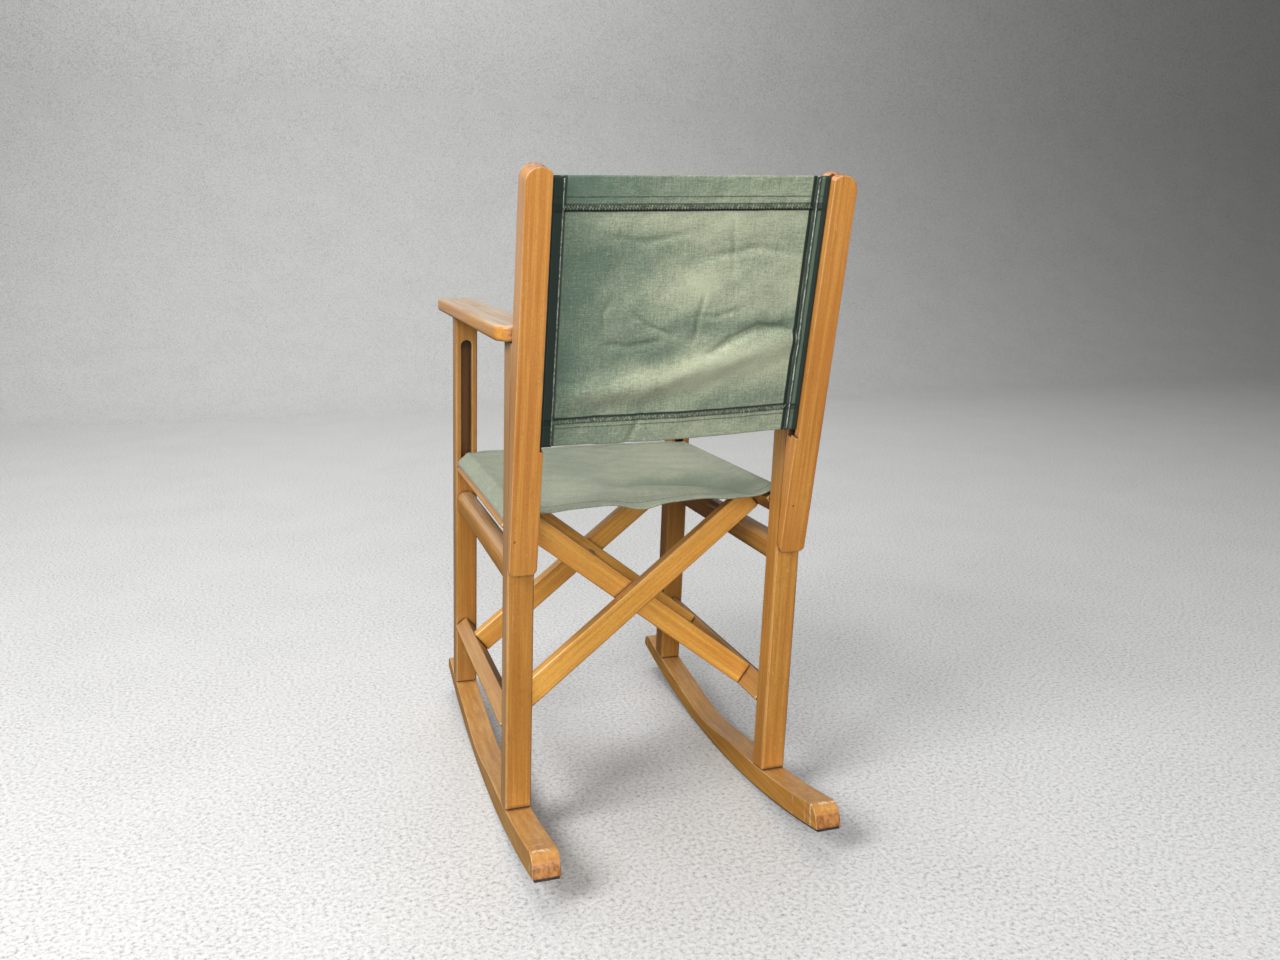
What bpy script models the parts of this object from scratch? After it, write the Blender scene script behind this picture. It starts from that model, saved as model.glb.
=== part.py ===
"""A child's folding director's chair on rockers, with a canvas seat and back.

Two side frames of turned and planed beech stand on rockers. Two crossed leaves join them: each
leaf has a bottom bar that turns in one side's posts, two slats, and a seat rail whose round ends
slide in routed grooves in the other side's posts. The canvas is held by rods in slots.
The sitter faces -Y, the sitter's left is +X, +Z is up. The origin is on the floor, under the
middle of the chair. Metres.
"""

import math

import bmesh
import bpy
from mathutils import Matrix, Vector

# Fits between pieces
GAP = 0.0003
RUNNING_CLEARANCE = 0.0007

# Side frames
SIDE_SPACING = 0.300
POST_WIDTH = 0.028
POST_DEPTH = 0.026
POST_LEAN = math.radians(5.6)
FRONT_POST_FOOT_Y = -0.203
REAR_POST_FOOT_Y = 0.144
POST_EDGE = 0.0015
REAR_POST_FLARE = math.radians(2.2)

# Rockers: an arc with a scooped top, and a thin strip glued under it
ROCKER_RADIUS = 1.160
ROCKER_LENGTH = 0.557
ROCKER_REAR_DEPTH = 0.024
ROCKER_FRONT_DEPTH = 0.019
ROCKER_WAIST_DEPTH = 0.0148
ROCKER_WAIST_Y = -0.048
ROCKER_SCOOP_REACH = 0.115
ROCKER_NOSE_RADIUS = 0.014
ROCKER_ARC_STEPS = 27
STRIP_THICKNESS = 0.002
STRIP_INSET = 0.0015

# Upper stretchers, between the posts under the seat
STRETCHER_Z = 0.299
STRETCHER_WIDTH = 0.024
STRETCHER_HEIGHT = 0.030
STRETCHER_ROUND = 0.0105

# Armrests
ARMREST_THICKNESS = 0.016
ARMREST_WIDTH = 0.048
ARMREST_OVERHANG = 0.015
ARMREST_FRONT_OVERHANG = 0.039
ARMREST_REAR_Z = 0.543
ARMREST_RISE = math.radians(1.4)
ARMREST_CORNER = 0.014
ARMREST_INNER_FRONT_CORNER = 0.024
ARMREST_EDGE = 0.004

# Back boards, wedged against the rear posts
BOARD_WIDTH = 0.029
BOARD_THICKNESS = 0.0285
BOARD_LEAN = math.radians(13.5)
BOARD_BOTTOM_Z = 0.304
BOARD_TOP_Z = 0.7025
BOARD_TOE = 0.009
BOARD_BOTTOM_CORNER = 0.006
BOARD_EDGE = 0.0025
BOARD_DOWEL_DIAMETER = 0.006
BOARD_DOWEL_SEAT = 0.0075
BOARD_DOWEL_Z = (0.330, 0.396)
BOARD_DOWEL_COVER = 0.002
BACK_SLOT_WIDTH = 0.0075
BACK_SLOT_DEPTH = 0.0105
BACK_SLOT_SETBACK = 0.0035
BACK_SLOT_FOOT = 0.008

# Crossed leaves
BAR_Z = 0.119
RAIL_Z = 0.353
LEAF_DEPTH = 0.019
LEAF_WIDTH = 0.027
SLAT_THICKNESS = 0.014
SLAT_PLAY = 0.0006
REAR_SLAT_Y = 0.091
FRONT_SLAT_Y = -0.133
LEAF_EDGE = 0.0012
SLAT_TENON_LENGTH = 0.009
SLAT_TENON_WIDTH = 0.018
SLAT_TENON_THICKNESS = 0.008
BAR_TENON_DIAMETER = 0.015
BAR_TENON_LENGTH = 0.015
BAR_END_PLAY = 0.0018
RAIL_FRONT_PLAY = 0.016
RAIL_REAR_PLAY = 0.0023
RAIL_PIN_DIAMETER = 0.0126
RAIL_FRONT_PIN_LENGTH = 0.0195
RAIL_REAR_PIN_LENGTH = 0.0174
GROOVE_WIDTH = 0.0142
GROOVE_TOP_Z = 0.5175
FRONT_GROOVE_DEPTH = 0.0178
REAR_GROOVE_DEPTH = 0.0162
PIVOT_DIAMETER = 0.006
PIVOT_HEAD_DIAMETER = 0.013
PIVOT_HEAD_HEIGHT = 0.0028
PIVOT_COVER = 0.005

# Canvas and the rods in its side hems
CANVAS_THICKNESS = 0.0014
ROD_DIAMETER = 0.005
BACK_CANVAS_BOTTOM_Z = 0.440
BACK_CANVAS_TOP_Z = 0.697
SEAT_SLOT_WIDTH = 0.007
SEAT_SLOT_DEPTH = 0.0085
SEAT_SLOT_DROP = 0.002
SEAT_CANVAS_SAG = 0.0045
SEAT_CANVAS_STEPS = 14
SEAT_CANVAS_FRONT_Y = -0.166
SEAT_CANVAS_INSET = 0.002

SIDES = (("left", 1.0), ("right", -1.0))
HALF_SPACING = SIDE_SPACING / 2
LEAF_ANGLE = math.atan2(RAIL_Z - BAR_Z, SIDE_SPACING)
LEAF_LENGTH = math.hypot(SIDE_SPACING, RAIL_Z - BAR_Z)
PIVOT_Z = (BAR_Z + RAIL_Z) / 2


# Scene, collections, materials

for old in list(bpy.data.objects):
    bpy.data.objects.remove(old, do_unlink=True)

parts = bpy.data.collections.new("folding_rocking_chair")
bpy.context.scene.collection.children.link(parts)
cutters = bpy.data.collections.new("cutters")
bpy.context.scene.collection.children.link(cutters)


def material(name, colour, roughness, metallic=0.0):
    """A plain Principled BSDF of one colour."""
    made = bpy.data.materials.new(name)
    made.use_nodes = True
    shader = made.node_tree.nodes["Principled BSDF"]
    shader.inputs["Base Color"].default_value = (*colour, 1.0)
    shader.inputs["Roughness"].default_value = roughness
    shader.inputs["Metallic"].default_value = metallic
    return made


BEECH = material("varnished_beech", (0.48, 0.22, 0.07), 0.38)
WORN_BEECH = material("worn_beech", (0.56, 0.36, 0.19), 0.55)
CANVAS = material("green_canvas", (0.20, 0.25, 0.16), 0.9)
RUBBER = material("black_strip", (0.02, 0.02, 0.02), 0.8)
STEEL = material("plated_steel", (0.55, 0.55, 0.53), 0.35, 1.0)


# Bodies: an empty for each, on the axis about which it turns

def body(name, location, parent=None):
    """An empty at a world location, which carries the pieces of one moving body."""
    empty = bpy.data.objects.new(name, None)
    empty.location = Vector(location) - (parent["origin"] if parent else Vector())
    empty.parent = parent["empty"] if parent else None
    parts.objects.link(empty)
    return {"empty": empty, "origin": Vector(location)}


left_side = body("left_side_frame", (0, 0, 0))
leaf_a = body("leaf_a_frame", (HALF_SPACING, 0, BAR_Z), left_side)
leaf_b = body("leaf_b_frame", (0, 0, PIVOT_Z), leaf_a)
right_side = body("right_side_frame", (-HALF_SPACING, 0, BAR_Z), leaf_b)
SIDE_BODIES = {"left": left_side, "right": right_side}


# Modelling helpers

def add_piece(name, mesh, finish, carrier, placed=None):
    """Link a mesh as a named piece of a body; placed is the piece's world matrix."""
    piece = bpy.data.objects.new(name, mesh)
    parts.objects.link(piece)
    piece.data.materials.append(finish)
    piece.parent = carrier["empty"]
    piece.matrix_basis = Matrix.Translation(-carrier["origin"]) @ (placed or Matrix())
    return piece


def add_cutter(name, mesh, placed=None):
    """Link a mesh as a hidden tool for Boolean modifiers."""
    tool = bpy.data.objects.new(name, mesh)
    tool.matrix_world = placed or Matrix()
    tool.hide_render = True
    tool.display_type = "WIRE"
    cutters.objects.link(tool)
    return tool


def boolean(piece, tool, operation="DIFFERENCE"):
    """Cut a piece with a tool, or join the tool to it."""
    step = piece.modifiers.new(tool.name, "BOOLEAN")
    step.operation = operation
    step.object = tool


def bevel(piece, width, segments=1):
    """Round the sharp edges of a piece."""
    step = piece.modifiers.new("rounded_edges", "BEVEL")
    step.width = width
    step.segments = segments
    step.limit_method = "ANGLE"
    step.angle_limit = math.radians(35)


def finished_mesh(shape, name):
    """Turn a bmesh into a mesh with its faces pointing out."""
    bmesh.ops.recalc_face_normals(shape, faces=shape.faces)
    mesh = bpy.data.meshes.new(name)
    shape.to_mesh(mesh)
    shape.free()
    return mesh


def block(name, corner, opposite):
    """A box between two opposite corners, given in either order."""
    shape = bmesh.new()
    bmesh.ops.create_cube(shape, size=1.0)
    for vert in shape.verts:
        vert.co = [min(a, b) + (c + 0.5) * abs(b - a) for a, b, c in zip(corner, opposite, vert.co)]
    return finished_mesh(shape, name)


def rod_along_y(name, diameter, start, end, centre=(0.0, 0.0), sides=20):
    """A cylinder along Y between two Y values, about an axis at centre in X and Z."""
    shape = bmesh.new()
    turn = Matrix.Rotation(math.pi / 2, 4, "X")
    middle = Matrix.Translation((centre[0], (start + end) / 2, centre[1]))
    bmesh.ops.create_cone(shape, cap_ends=True, segments=sides, radius1=diameter / 2, radius2=diameter / 2,
                          depth=end - start, matrix=middle @ turn)
    return finished_mesh(shape, name)


def outline_mesh(name, points, thickness, placed):
    """A flat outline, drawn as a 2D curve and extruded by its thickness both ways from the middle."""
    curve = bpy.data.curves.new(name, "CURVE")
    curve.dimensions = "2D"
    curve.fill_mode = "BOTH"
    curve.extrude = thickness / 2
    spline = curve.splines.new("POLY")
    spline.points.add(len(points) - 1)
    for point, (u, v) in zip(spline.points, points):
        point.co = (u, v, 0.0, 1.0)
    spline.use_cyclic_u = True
    drawn = bpy.data.objects.new(name, curve)
    parts.objects.link(drawn)
    evaluated = drawn.evaluated_get(bpy.context.evaluated_depsgraph_get())
    mesh = bpy.data.meshes.new_from_object(evaluated)
    bpy.data.objects.remove(drawn, do_unlink=True)
    shape = bmesh.new()
    shape.from_mesh(mesh)
    bpy.data.meshes.remove(mesh)
    bmesh.ops.remove_doubles(shape, verts=shape.verts, dist=1e-6)
    bmesh.ops.transform(shape, matrix=placed, verts=shape.verts)
    return finished_mesh(shape, name)


def arc(centre, radius, start, end, steps):
    """Points along a circular arc, angles in degrees."""
    turns = [math.radians(start + (end - start) * i / steps) for i in range(steps + 1)]
    return [(centre[0] + radius * math.cos(t), centre[1] + radius * math.sin(t)) for t in turns]


def rounded_rectangle(width, height, radii, steps=5):
    """Outline about its centre; radii run from the corner at +u +v counter-clockwise."""
    points = []
    corners = ((1, 1, 0), (-1, 1, 90), (-1, -1, 180), (1, -1, 270))
    for (su, sv, start), radius in zip(corners, radii):
        centre = (su * (width / 2 - radius), sv * (height / 2 - radius))
        points += arc(centre, radius, start, start + 90, steps)
    return points


# Planes that map an outline's two axes to world axes
ACROSS_YZ = Matrix(((0, 0, 1, 0), (1, 0, 0, 0), (0, 1, 0, 0), (0, 0, 0, 1)))
ACROSS_XZ = Matrix(((1, 0, 0, 0), (0, 0, -1, 0), (0, 1, 0, 0), (0, 0, 0, 1)))


# Where the leaning posts and the rockers run

def rocker_point(turn, depth):
    """A point of the rocker's side view: an angle along the arc, a depth in from the floor."""
    reach = ROCKER_RADIUS - depth
    return reach * math.sin(turn), ROCKER_RADIUS - reach * math.cos(turn)


def scoop(y):
    """Depth of the rocker's wood at y: full at the posts, easing down to the waist."""
    full = ROCKER_REAR_DEPTH if y > ROCKER_WAIST_Y else ROCKER_FRONT_DEPTH
    share = min(1.0, abs(y - ROCKER_WAIST_Y) / ROCKER_SCOOP_REACH)
    return ROCKER_WAIST_DEPTH + (full - ROCKER_WAIST_DEPTH) * share * share * (3 - 2 * share)


WOOD_START = STRIP_THICKNESS + GAP


def rocker_top(y):
    """Height of the rocker's top above the floor."""
    return ROCKER_RADIUS - math.sqrt((ROCKER_RADIUS - WOOD_START - scoop(y)) ** 2 - y * y)


def lean_at(z, foot_y):
    """Y of a post's rear face at height z, from its rear face at the rocker."""
    return foot_y + (z - rocker_top(foot_y)) * math.tan(POST_LEAN)


POST_RUN = POST_DEPTH / math.cos(POST_LEAN)


def front_post_face(z):
    """Rear face of the front post, which faces the seat."""
    return lean_at(z, FRONT_POST_FOOT_Y)


def rear_post_face(z):
    """Front face of the rear post, which faces the seat."""
    return lean_at(z, REAR_POST_FOOT_Y) - POST_RUN


LAP_FOOT_Y = lean_at(BOARD_BOTTOM_Z, REAR_POST_FOOT_Y)
LAP_LEAN = POST_LEAN + REAR_POST_FLARE
BOARD_FOOT_Y = LAP_FOOT_Y + GAP + BOARD_TOE


def lap_face(z):
    """Y of the rear post's rear face above the foot of the back board, where it flares back."""
    return LAP_FOOT_Y + (z - BOARD_BOTTOM_Z) * math.tan(LAP_LEAN)


def board_rear(z):
    """Y of a back board's rear face at height z."""
    return BOARD_FOOT_Y + (z - BOARD_BOTTOM_Z) * math.tan(BOARD_LEAN)


ARMREST_REAR_Y = board_rear(ARMREST_REAR_Z) - BOARD_THICKNESS / math.cos(BOARD_LEAN) - GAP
ARMREST_FRONT_Y = lean_at(ARMREST_REAR_Z, FRONT_POST_FOOT_Y) - POST_RUN - ARMREST_FRONT_OVERHANG


def armrest_under(y):
    """Height of the armrest's underside, which rises a little to the front."""
    return ARMREST_REAR_Z + (ARMREST_REAR_Y - y) * math.tan(ARMREST_RISE)


def shear_with_posts(mesh, reference_z):
    """Slide each point of a mesh back with its height, as the posts lean."""
    for vert in mesh.vertices:
        vert.co.y += (vert.co.z - reference_z) * math.tan(POST_LEAN)


# Rockers and their strips

END_TURN = math.asin(ROCKER_LENGTH / 2 / ROCKER_RADIUS)
ARC_STEP = 2 * END_TURN / ROCKER_ARC_STEPS


def rocker_outline():
    """Side view: the running arc, a rounded nose at each end and the scooped top."""
    turns = [-END_TURN + ARC_STEP * i for i in range(ROCKER_ARC_STEPS + 1)]
    points = [rocker_point(turn, WOOD_START) for turn in turns]
    noses = []
    for end in (1.0, -1.0):
        full = ROCKER_REAR_DEPTH if end > 0 else ROCKER_FRONT_DEPTH
        nose = arc((0.0, 0.0), ROCKER_NOSE_RADIUS, 0, 90, 6)
        back = ROCKER_NOSE_RADIUS
        noses.append([rocker_point(end * (END_TURN - (back - along) / ROCKER_RADIUS),
                                   WOOD_START + full - ROCKER_NOSE_RADIUS + up) for along, up in nose])
    top_turns = [turn for turn in turns if abs(turn) < END_TURN - 2 * ROCKER_NOSE_RADIUS / ROCKER_RADIUS]
    top = [rocker_point(t, WOOD_START + scoop(ROCKER_RADIUS * math.sin(t))) for t in reversed(top_turns)]
    return points + noses[0] + top + list(reversed(noses[1]))


def strip_outline():
    """Side view of the strip: the running arc and a second arc inside it."""
    turns = [-END_TURN + ARC_STEP * i for i in range(ROCKER_ARC_STEPS + 1)]
    outer = [rocker_point(turn, 0.0) for turn in turns]
    return outer + [rocker_point(turn, STRIP_THICKNESS) for turn in reversed(turns)]


for side, sign in SIDES:
    middle = Matrix.Translation((sign * HALF_SPACING, 0, 0)) @ ACROSS_YZ
    rocker = add_piece(f"{side}_rocker", outline_mesh("rocker", rocker_outline(), POST_WIDTH, middle),
                       BEECH, SIDE_BODIES[side])
    bevel(rocker, POST_EDGE)
    add_piece(f"{side}_rocker_strip",
              outline_mesh("strip", strip_outline(), POST_WIDTH - 2 * STRIP_INSET, middle),
              RUBBER, SIDE_BODIES[side])


# Posts, with a bore for the bottom bar's tenon and a groove for the seat rail's pin

def foot_corner(face):
    """Where a face of a post, Y by height, meets the rocker's top."""
    z = BAR_Z
    for _ in range(6):
        z = rocker_top(face(z)) + GAP
    return face(z), z


def head_corner(face):
    """Where a face of a post, Y by height, meets the armrest's underside."""
    z = ARMREST_REAR_Z
    for _ in range(6):
        z = armrest_under(face(z)) - GAP
    return face(z), z


def front_post_front(z):
    """Front face of the front post."""
    return front_post_face(z) - POST_RUN


def rear_post_rear(z):
    """Rear face of the rear post below the foot of the back board."""
    return lean_at(z, REAR_POST_FOOT_Y)


FRONT_POST_OUTLINE = [foot_corner(front_post_front), foot_corner(front_post_face),
                      head_corner(front_post_face), head_corner(front_post_front)]
REAR_POST_OUTLINE = [foot_corner(rear_post_face), foot_corner(rear_post_rear), (LAP_FOOT_Y, BOARD_BOTTOM_Z),
                     head_corner(lap_face), head_corner(rear_post_face)]


def groove_mesh(x, near_y, far_y):
    """A long slot with round ends, between two Y values at the rail's height, leaning with the post."""
    radius = GROOVE_WIDTH / 2
    outline = arc((0, GROOVE_TOP_Z - radius), radius, 0, 180, 10) + arc((0, RAIL_Z), radius, 180, 360, 10)
    placed = Matrix.Translation((x, (near_y + far_y) / 2, 0)) @ ACROSS_XZ
    mesh = outline_mesh("groove", outline, far_y - near_y, placed)
    shear_with_posts(mesh, RAIL_Z)
    return mesh


BORE_DIAMETER = BAR_TENON_DIAMETER + 2 * RUNNING_CLEARANCE
CUT_PAST = 0.010

for side, sign in SIDES:
    x = sign * HALF_SPACING
    face = front_post_face(RAIL_Z)
    front_groove = add_cutter(f"{side}_front_groove", groove_mesh(x, face - FRONT_GROOVE_DEPTH, face + CUT_PAST))
    face = rear_post_face(RAIL_Z)
    rear_groove = add_cutter(f"{side}_rear_groove", groove_mesh(x, face - CUT_PAST, face + REAR_GROOVE_DEPTH))
    bore_front = front_post_face(BAR_Z) - BAR_TENON_LENGTH - GAP
    bore_rear = rear_post_face(BAR_Z) + BAR_TENON_LENGTH + GAP
    front_bore = add_cutter(f"{side}_front_bore", rod_along_y("bore", BORE_DIAMETER, bore_front,
                                                              bore_front + 2 * BAR_TENON_LENGTH, (x, BAR_Z)))
    rear_bore = add_cutter(f"{side}_rear_bore", rod_along_y("bore", BORE_DIAMETER,
                                                            bore_rear - 2 * BAR_TENON_LENGTH, bore_rear, (x, BAR_Z)))
    for place, outline, tools in (("front", FRONT_POST_OUTLINE, (front_groove, front_bore)),
                                  ("rear", REAR_POST_OUTLINE, (rear_groove, rear_bore))):
        side_view = Matrix.Translation((x, 0, 0)) @ ACROSS_YZ
        post = add_piece(f"{side}_{place}_post", outline_mesh("post", outline, POST_WIDTH, side_view), BEECH,
                         SIDE_BODIES[side])
        bevel(post, POST_EDGE)
        for tool in tools:
            boolean(post, tool)


# Upper stretchers, of a rounded section, cut to the posts' lean at both ends

for side, sign in SIDES:
    section = rounded_rectangle(STRETCHER_WIDTH, STRETCHER_HEIGHT, [STRETCHER_ROUND] * 4)
    placed = Matrix.Translation((sign * HALF_SPACING, 0, STRETCHER_Z)) @ ACROSS_XZ
    mesh = outline_mesh("stretcher", section, SIDE_SPACING, placed)
    for vert in mesh.vertices:
        z = vert.co.z
        vert.co.y = front_post_face(z) + GAP if vert.co.y < 0 else rear_post_face(z) - GAP
    add_piece(f"{side}_upper_stretcher", mesh, BEECH, SIDE_BODIES[side])


# Armrests, flat boards over both posts, with the back end against the back board

for side, sign in SIDES:
    length = (ARMREST_REAR_Y - ARMREST_FRONT_Y) / math.cos(ARMREST_RISE)
    outer = HALF_SPACING + POST_WIDTH / 2 + ARMREST_OVERHANG
    radii = [ARMREST_CORNER, ARMREST_CORNER / 2, ARMREST_INNER_FRONT_CORNER, ARMREST_CORNER]
    plan = [(sign * u, v) for u, v in rounded_rectangle(ARMREST_WIDTH, length, radii)]
    tilt = Matrix.Translation((0, ARMREST_REAR_Y, ARMREST_REAR_Z)) @ Matrix.Rotation(-ARMREST_RISE, 4, "X")
    placed = tilt @ Matrix.Translation((sign * (outer - ARMREST_WIDTH / 2), -length / 2, ARMREST_THICKNESS / 2))
    armrest = add_piece(f"{side}_armrest", outline_mesh("armrest", plan, ARMREST_THICKNESS, placed),
                        WORN_BEECH, SIDE_BODIES[side])
    bevel(armrest, ARMREST_EDGE, 2)


# Back boards: round at the top, wedged at the bottom to lie flat on the rear post

BOARD_LENGTH = (BOARD_TOP_Z - BOARD_BOTTOM_Z) / math.cos(BOARD_LEAN)
SLOT_Y = -BOARD_THICKNESS / 2


def board_frame(sign):
    """World matrix of a board: X outwards from its middle, Y back from its rear face, Z up it."""
    foot = Vector((sign * HALF_SPACING, BOARD_FOOT_Y, BOARD_BOTTOM_Z))
    return Matrix.Translation(foot) @ Matrix.Rotation(-BOARD_LEAN, 4, "X")


def up_board(z):
    """Distance up a board at a world height."""
    return (z - BOARD_BOTTOM_Z) / math.cos(BOARD_LEAN)


ROD_X = BOARD_WIDTH / 2 - BACK_SLOT_DEPTH + GAP + ROD_DIAMETER / 2
SLOT_BOTTOM = up_board(BACK_CANVAS_BOTTOM_Z) - BACK_SLOT_FOOT

for side, sign in SIDES:
    placed = board_frame(sign)
    radius = BOARD_WIDTH / 2
    corner = BOARD_BOTTOM_CORNER
    outline = arc((0, BOARD_LENGTH - radius), radius, 0, 180, 14)
    outline += arc((corner - radius, corner), corner, 180, 270, 4) + arc((radius - corner, corner), corner, 270, 360, 4)
    flat = Matrix.Translation((0, -BOARD_THICKNESS / 2, 0)) @ ACROSS_XZ
    board = add_piece(f"{side}_back_board", outline_mesh("board", outline, BOARD_THICKNESS, flat), BEECH,
                      SIDE_BODIES[side], placed)
    bevel(board, BOARD_EDGE)
    slot_floor, past_face = BOARD_WIDTH / 2 - BACK_SLOT_DEPTH, BOARD_WIDTH / 2 + CUT_PAST
    slot = block("slot", (-sign * slot_floor, SLOT_Y - BACK_SLOT_WIDTH / 2, SLOT_BOTTOM),
                 (-sign * past_face, SLOT_Y + BACK_SLOT_WIDTH / 2, BOARD_LENGTH + CUT_PAST))
    boolean(board, add_cutter(f"{side}_back_slot", slot, placed))
    lip_inner = BOARD_WIDTH / 2 - BACK_SLOT_SETBACK
    lip = block("lip", (-sign * lip_inner, SLOT_Y, SLOT_BOTTOM + BACK_SLOT_SETBACK),
                (-sign * past_face, CUT_PAST, BOARD_LENGTH + CUT_PAST))
    boolean(board, add_cutter(f"{side}_back_lip", lip, placed))
    lap = block("lap", (sign * HALF_SPACING - BOARD_WIDTH, -2 * POST_DEPTH, BOARD_BOTTOM_Z - BOARD_WIDTH),
                (sign * HALF_SPACING + BOARD_WIDTH, GAP, ARMREST_REAR_Z + ARMREST_THICKNESS + GAP))
    for vert in lap.vertices:
        vert.co.y += lap_face(vert.co.z)
    boolean(board, add_cutter(f"{side}_lap", lap))

    rod_low, rod_high = up_board(BACK_CANVAS_BOTTOM_Z), up_board(BACK_CANVAS_TOP_Z)
    rod = rod_along_y("rod", ROD_DIAMETER, rod_low, rod_high, (0, 0), 12)
    upright = Matrix.Translation((-sign * ROD_X, SLOT_Y, 0)) @ Matrix.Rotation(math.pi / 2, 4, "X")
    add_piece(f"{side}_back_rod", rod, BEECH, SIDE_BODIES[side], placed @ upright)

    for place, z in zip(("lower", "upper"), BOARD_DOWEL_Z):
        start, end = lap_face(z) - BOARD_DOWEL_SEAT, board_rear(z) - BOARD_DOWEL_COVER
        axis = (sign * HALF_SPACING, z)
        hole = add_cutter(f"{side}_{place}_dowel_hole", rod_along_y(
            "hole", BOARD_DOWEL_DIAMETER + 2 * GAP, start - GAP, end + GAP, axis, 12))
        boolean(board, hole)
        boolean(bpy.data.objects[f"{side}_rear_post"], hole)
        add_piece(f"{side}_{place}_board_dowel",
                  rod_along_y("dowel", BOARD_DOWEL_DIAMETER, start, end, axis, 12), BEECH, SIDE_BODIES[side])


# Crossed leaves

def leaf_frame(sign):
    """World matrix of a leaf: X up along its slats from the bottom bar, Y level, Z square to the slats.

    sign is +1 for the leaf whose bottom bar is on the sitter's left.
    """
    along = Vector((-sign * math.cos(LEAF_ANGLE), 0, math.sin(LEAF_ANGLE)))
    level = Vector((0, -sign, 0))
    turned = Matrix((along, level, along.cross(level))).transposed().to_4x4()
    return Matrix.Translation((sign * HALF_SPACING, 0, BAR_Z)) @ turned


def level_range(sign, first, second):
    """Two world Y values as a rising pair in a leaf's own frame."""
    return sorted((-sign * first, -sign * second))


def slat_range(place, outermost):
    """World Y of a slat's two faces; at both ends leaf A's slat lies outside leaf B's."""
    step = SLAT_THICKNESS + SLAT_PLAY
    if place == "rear":
        rear = REAR_SLAT_Y - (0.0 if outermost else step)
        return rear - SLAT_THICKNESS, rear
    front = FRONT_SLAT_Y + (0.0 if outermost else step)
    return front, front + SLAT_THICKNESS


BAR_FRONT_Y = front_post_face(BAR_Z) + BAR_END_PLAY
BAR_REAR_Y = rear_post_face(BAR_Z) - BAR_END_PLAY
RAIL_FRONT_Y = front_post_face(RAIL_Z) + RAIL_FRONT_PLAY
RAIL_REAR_Y = rear_post_face(RAIL_Z) - RAIL_REAR_PLAY
HALF_DEPTH = LEAF_DEPTH / 2
HALF_WIDTH = LEAF_WIDTH / 2


def turned_bar(name, sign, carrier, along, ends, tenons, diameter):
    """A square bar across a leaf with a round tenon at each end; along is its place on the slats."""
    low, high = level_range(sign, *ends)
    placed = leaf_frame(sign)
    bar = add_piece(name, block("bar", (along - HALF_DEPTH, low, -HALF_WIDTH), (along + HALF_DEPTH, high, HALF_WIDTH)),
                    BEECH, carrier, placed)
    bevel(bar, LEAF_EDGE)
    start, end = level_range(sign, ends[0] - tenons[0], ends[1] + tenons[1])
    spindle = add_cutter(f"{name}_spindle", rod_along_y("spindle", diameter, start, end, (along, 0), 24), placed)
    boolean(bar, spindle, "UNION")
    return bar


def leaf(letter, sign, carrier, bar_side, rail_side):
    """One leaf: bottom bar, seat rail with its canvas rod, and two slats tenoned into them."""
    placed = leaf_frame(sign)
    bar_tenon = BAR_TENON_LENGTH + BAR_END_PLAY - RUNNING_CLEARANCE
    bar = turned_bar(f"{bar_side}_bottom_bar", sign, carrier, 0.0, (BAR_FRONT_Y, BAR_REAR_Y),
                     (bar_tenon, bar_tenon), BAR_TENON_DIAMETER)
    rail_ends = (RAIL_FRONT_Y, RAIL_REAR_Y)
    rail = turned_bar(f"{rail_side}_seat_rail", sign, carrier, LEAF_LENGTH, rail_ends,
                      (RAIL_FRONT_PIN_LENGTH, RAIL_REAR_PIN_LENGTH), RAIL_PIN_DIAMETER)
    low, high = level_range(sign, *rail_ends)
    slot_floor = LEAF_LENGTH + HALF_DEPTH - SEAT_SLOT_DEPTH
    slot = block("slot", (slot_floor, low + SEAT_CANVAS_INSET, -SEAT_SLOT_DROP - SEAT_SLOT_WIDTH / 2),
                 (LEAF_LENGTH + HALF_DEPTH + CUT_PAST, high - SEAT_CANVAS_INSET, -SEAT_SLOT_DROP + SEAT_SLOT_WIDTH / 2))
    boolean(rail, add_cutter(f"{rail_side}_seat_slot", slot, placed))
    rod = rod_along_y("rod", ROD_DIAMETER, low + 2 * SEAT_CANVAS_INSET, high - 2 * SEAT_CANVAS_INSET,
                      (slot_floor + GAP + ROD_DIAMETER / 2, -SEAT_SLOT_DROP), 12)
    add_piece(f"{rail_side}_seat_rod", rod, BEECH, carrier, placed)

    for place in ("front", "rear"):
        near, far = level_range(sign, *slat_range(place, sign > 0))
        slat = add_piece(f"slat_{letter}_{place}", block(
            "slat", (HALF_DEPTH + GAP, near, -HALF_WIDTH), (LEAF_LENGTH - HALF_DEPTH - GAP, far, HALF_WIDTH)),
            BEECH, carrier, placed)
        bevel(slat, LEAF_EDGE)
        middle = (near + far) / 2
        reach = HALF_DEPTH - SLAT_TENON_LENGTH
        tongue = add_cutter(f"slat_{letter}_{place}_tongue", block(
            "tongue", (reach, middle - SLAT_TENON_THICKNESS / 2, -SLAT_TENON_WIDTH / 2),
            (LEAF_LENGTH - reach, middle + SLAT_TENON_THICKNESS / 2, SLAT_TENON_WIDTH / 2)), placed)
        boolean(slat, tongue, "UNION")
        for holder, first, second in ((bar, reach - GAP, HALF_DEPTH + CUT_PAST),
                                      (rail, LEAF_LENGTH - HALF_DEPTH - CUT_PAST, LEAF_LENGTH - reach + GAP)):
            half = SLAT_TENON_THICKNESS / 2 + GAP
            mortise = block("mortise", (first, middle - half, -SLAT_TENON_WIDTH / 2 - GAP),
                            (second, middle + half, SLAT_TENON_WIDTH / 2 + GAP))
            boolean(holder, add_cutter(f"{holder.name}_{place}_mortise", mortise, placed))


leaf("a", 1.0, leaf_a, "left", "right")
leaf("b", -1.0, leaf_b, "right", "left")


# Pivot pins where the slats cross: headed on the inside, blind in the outermost slat

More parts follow.
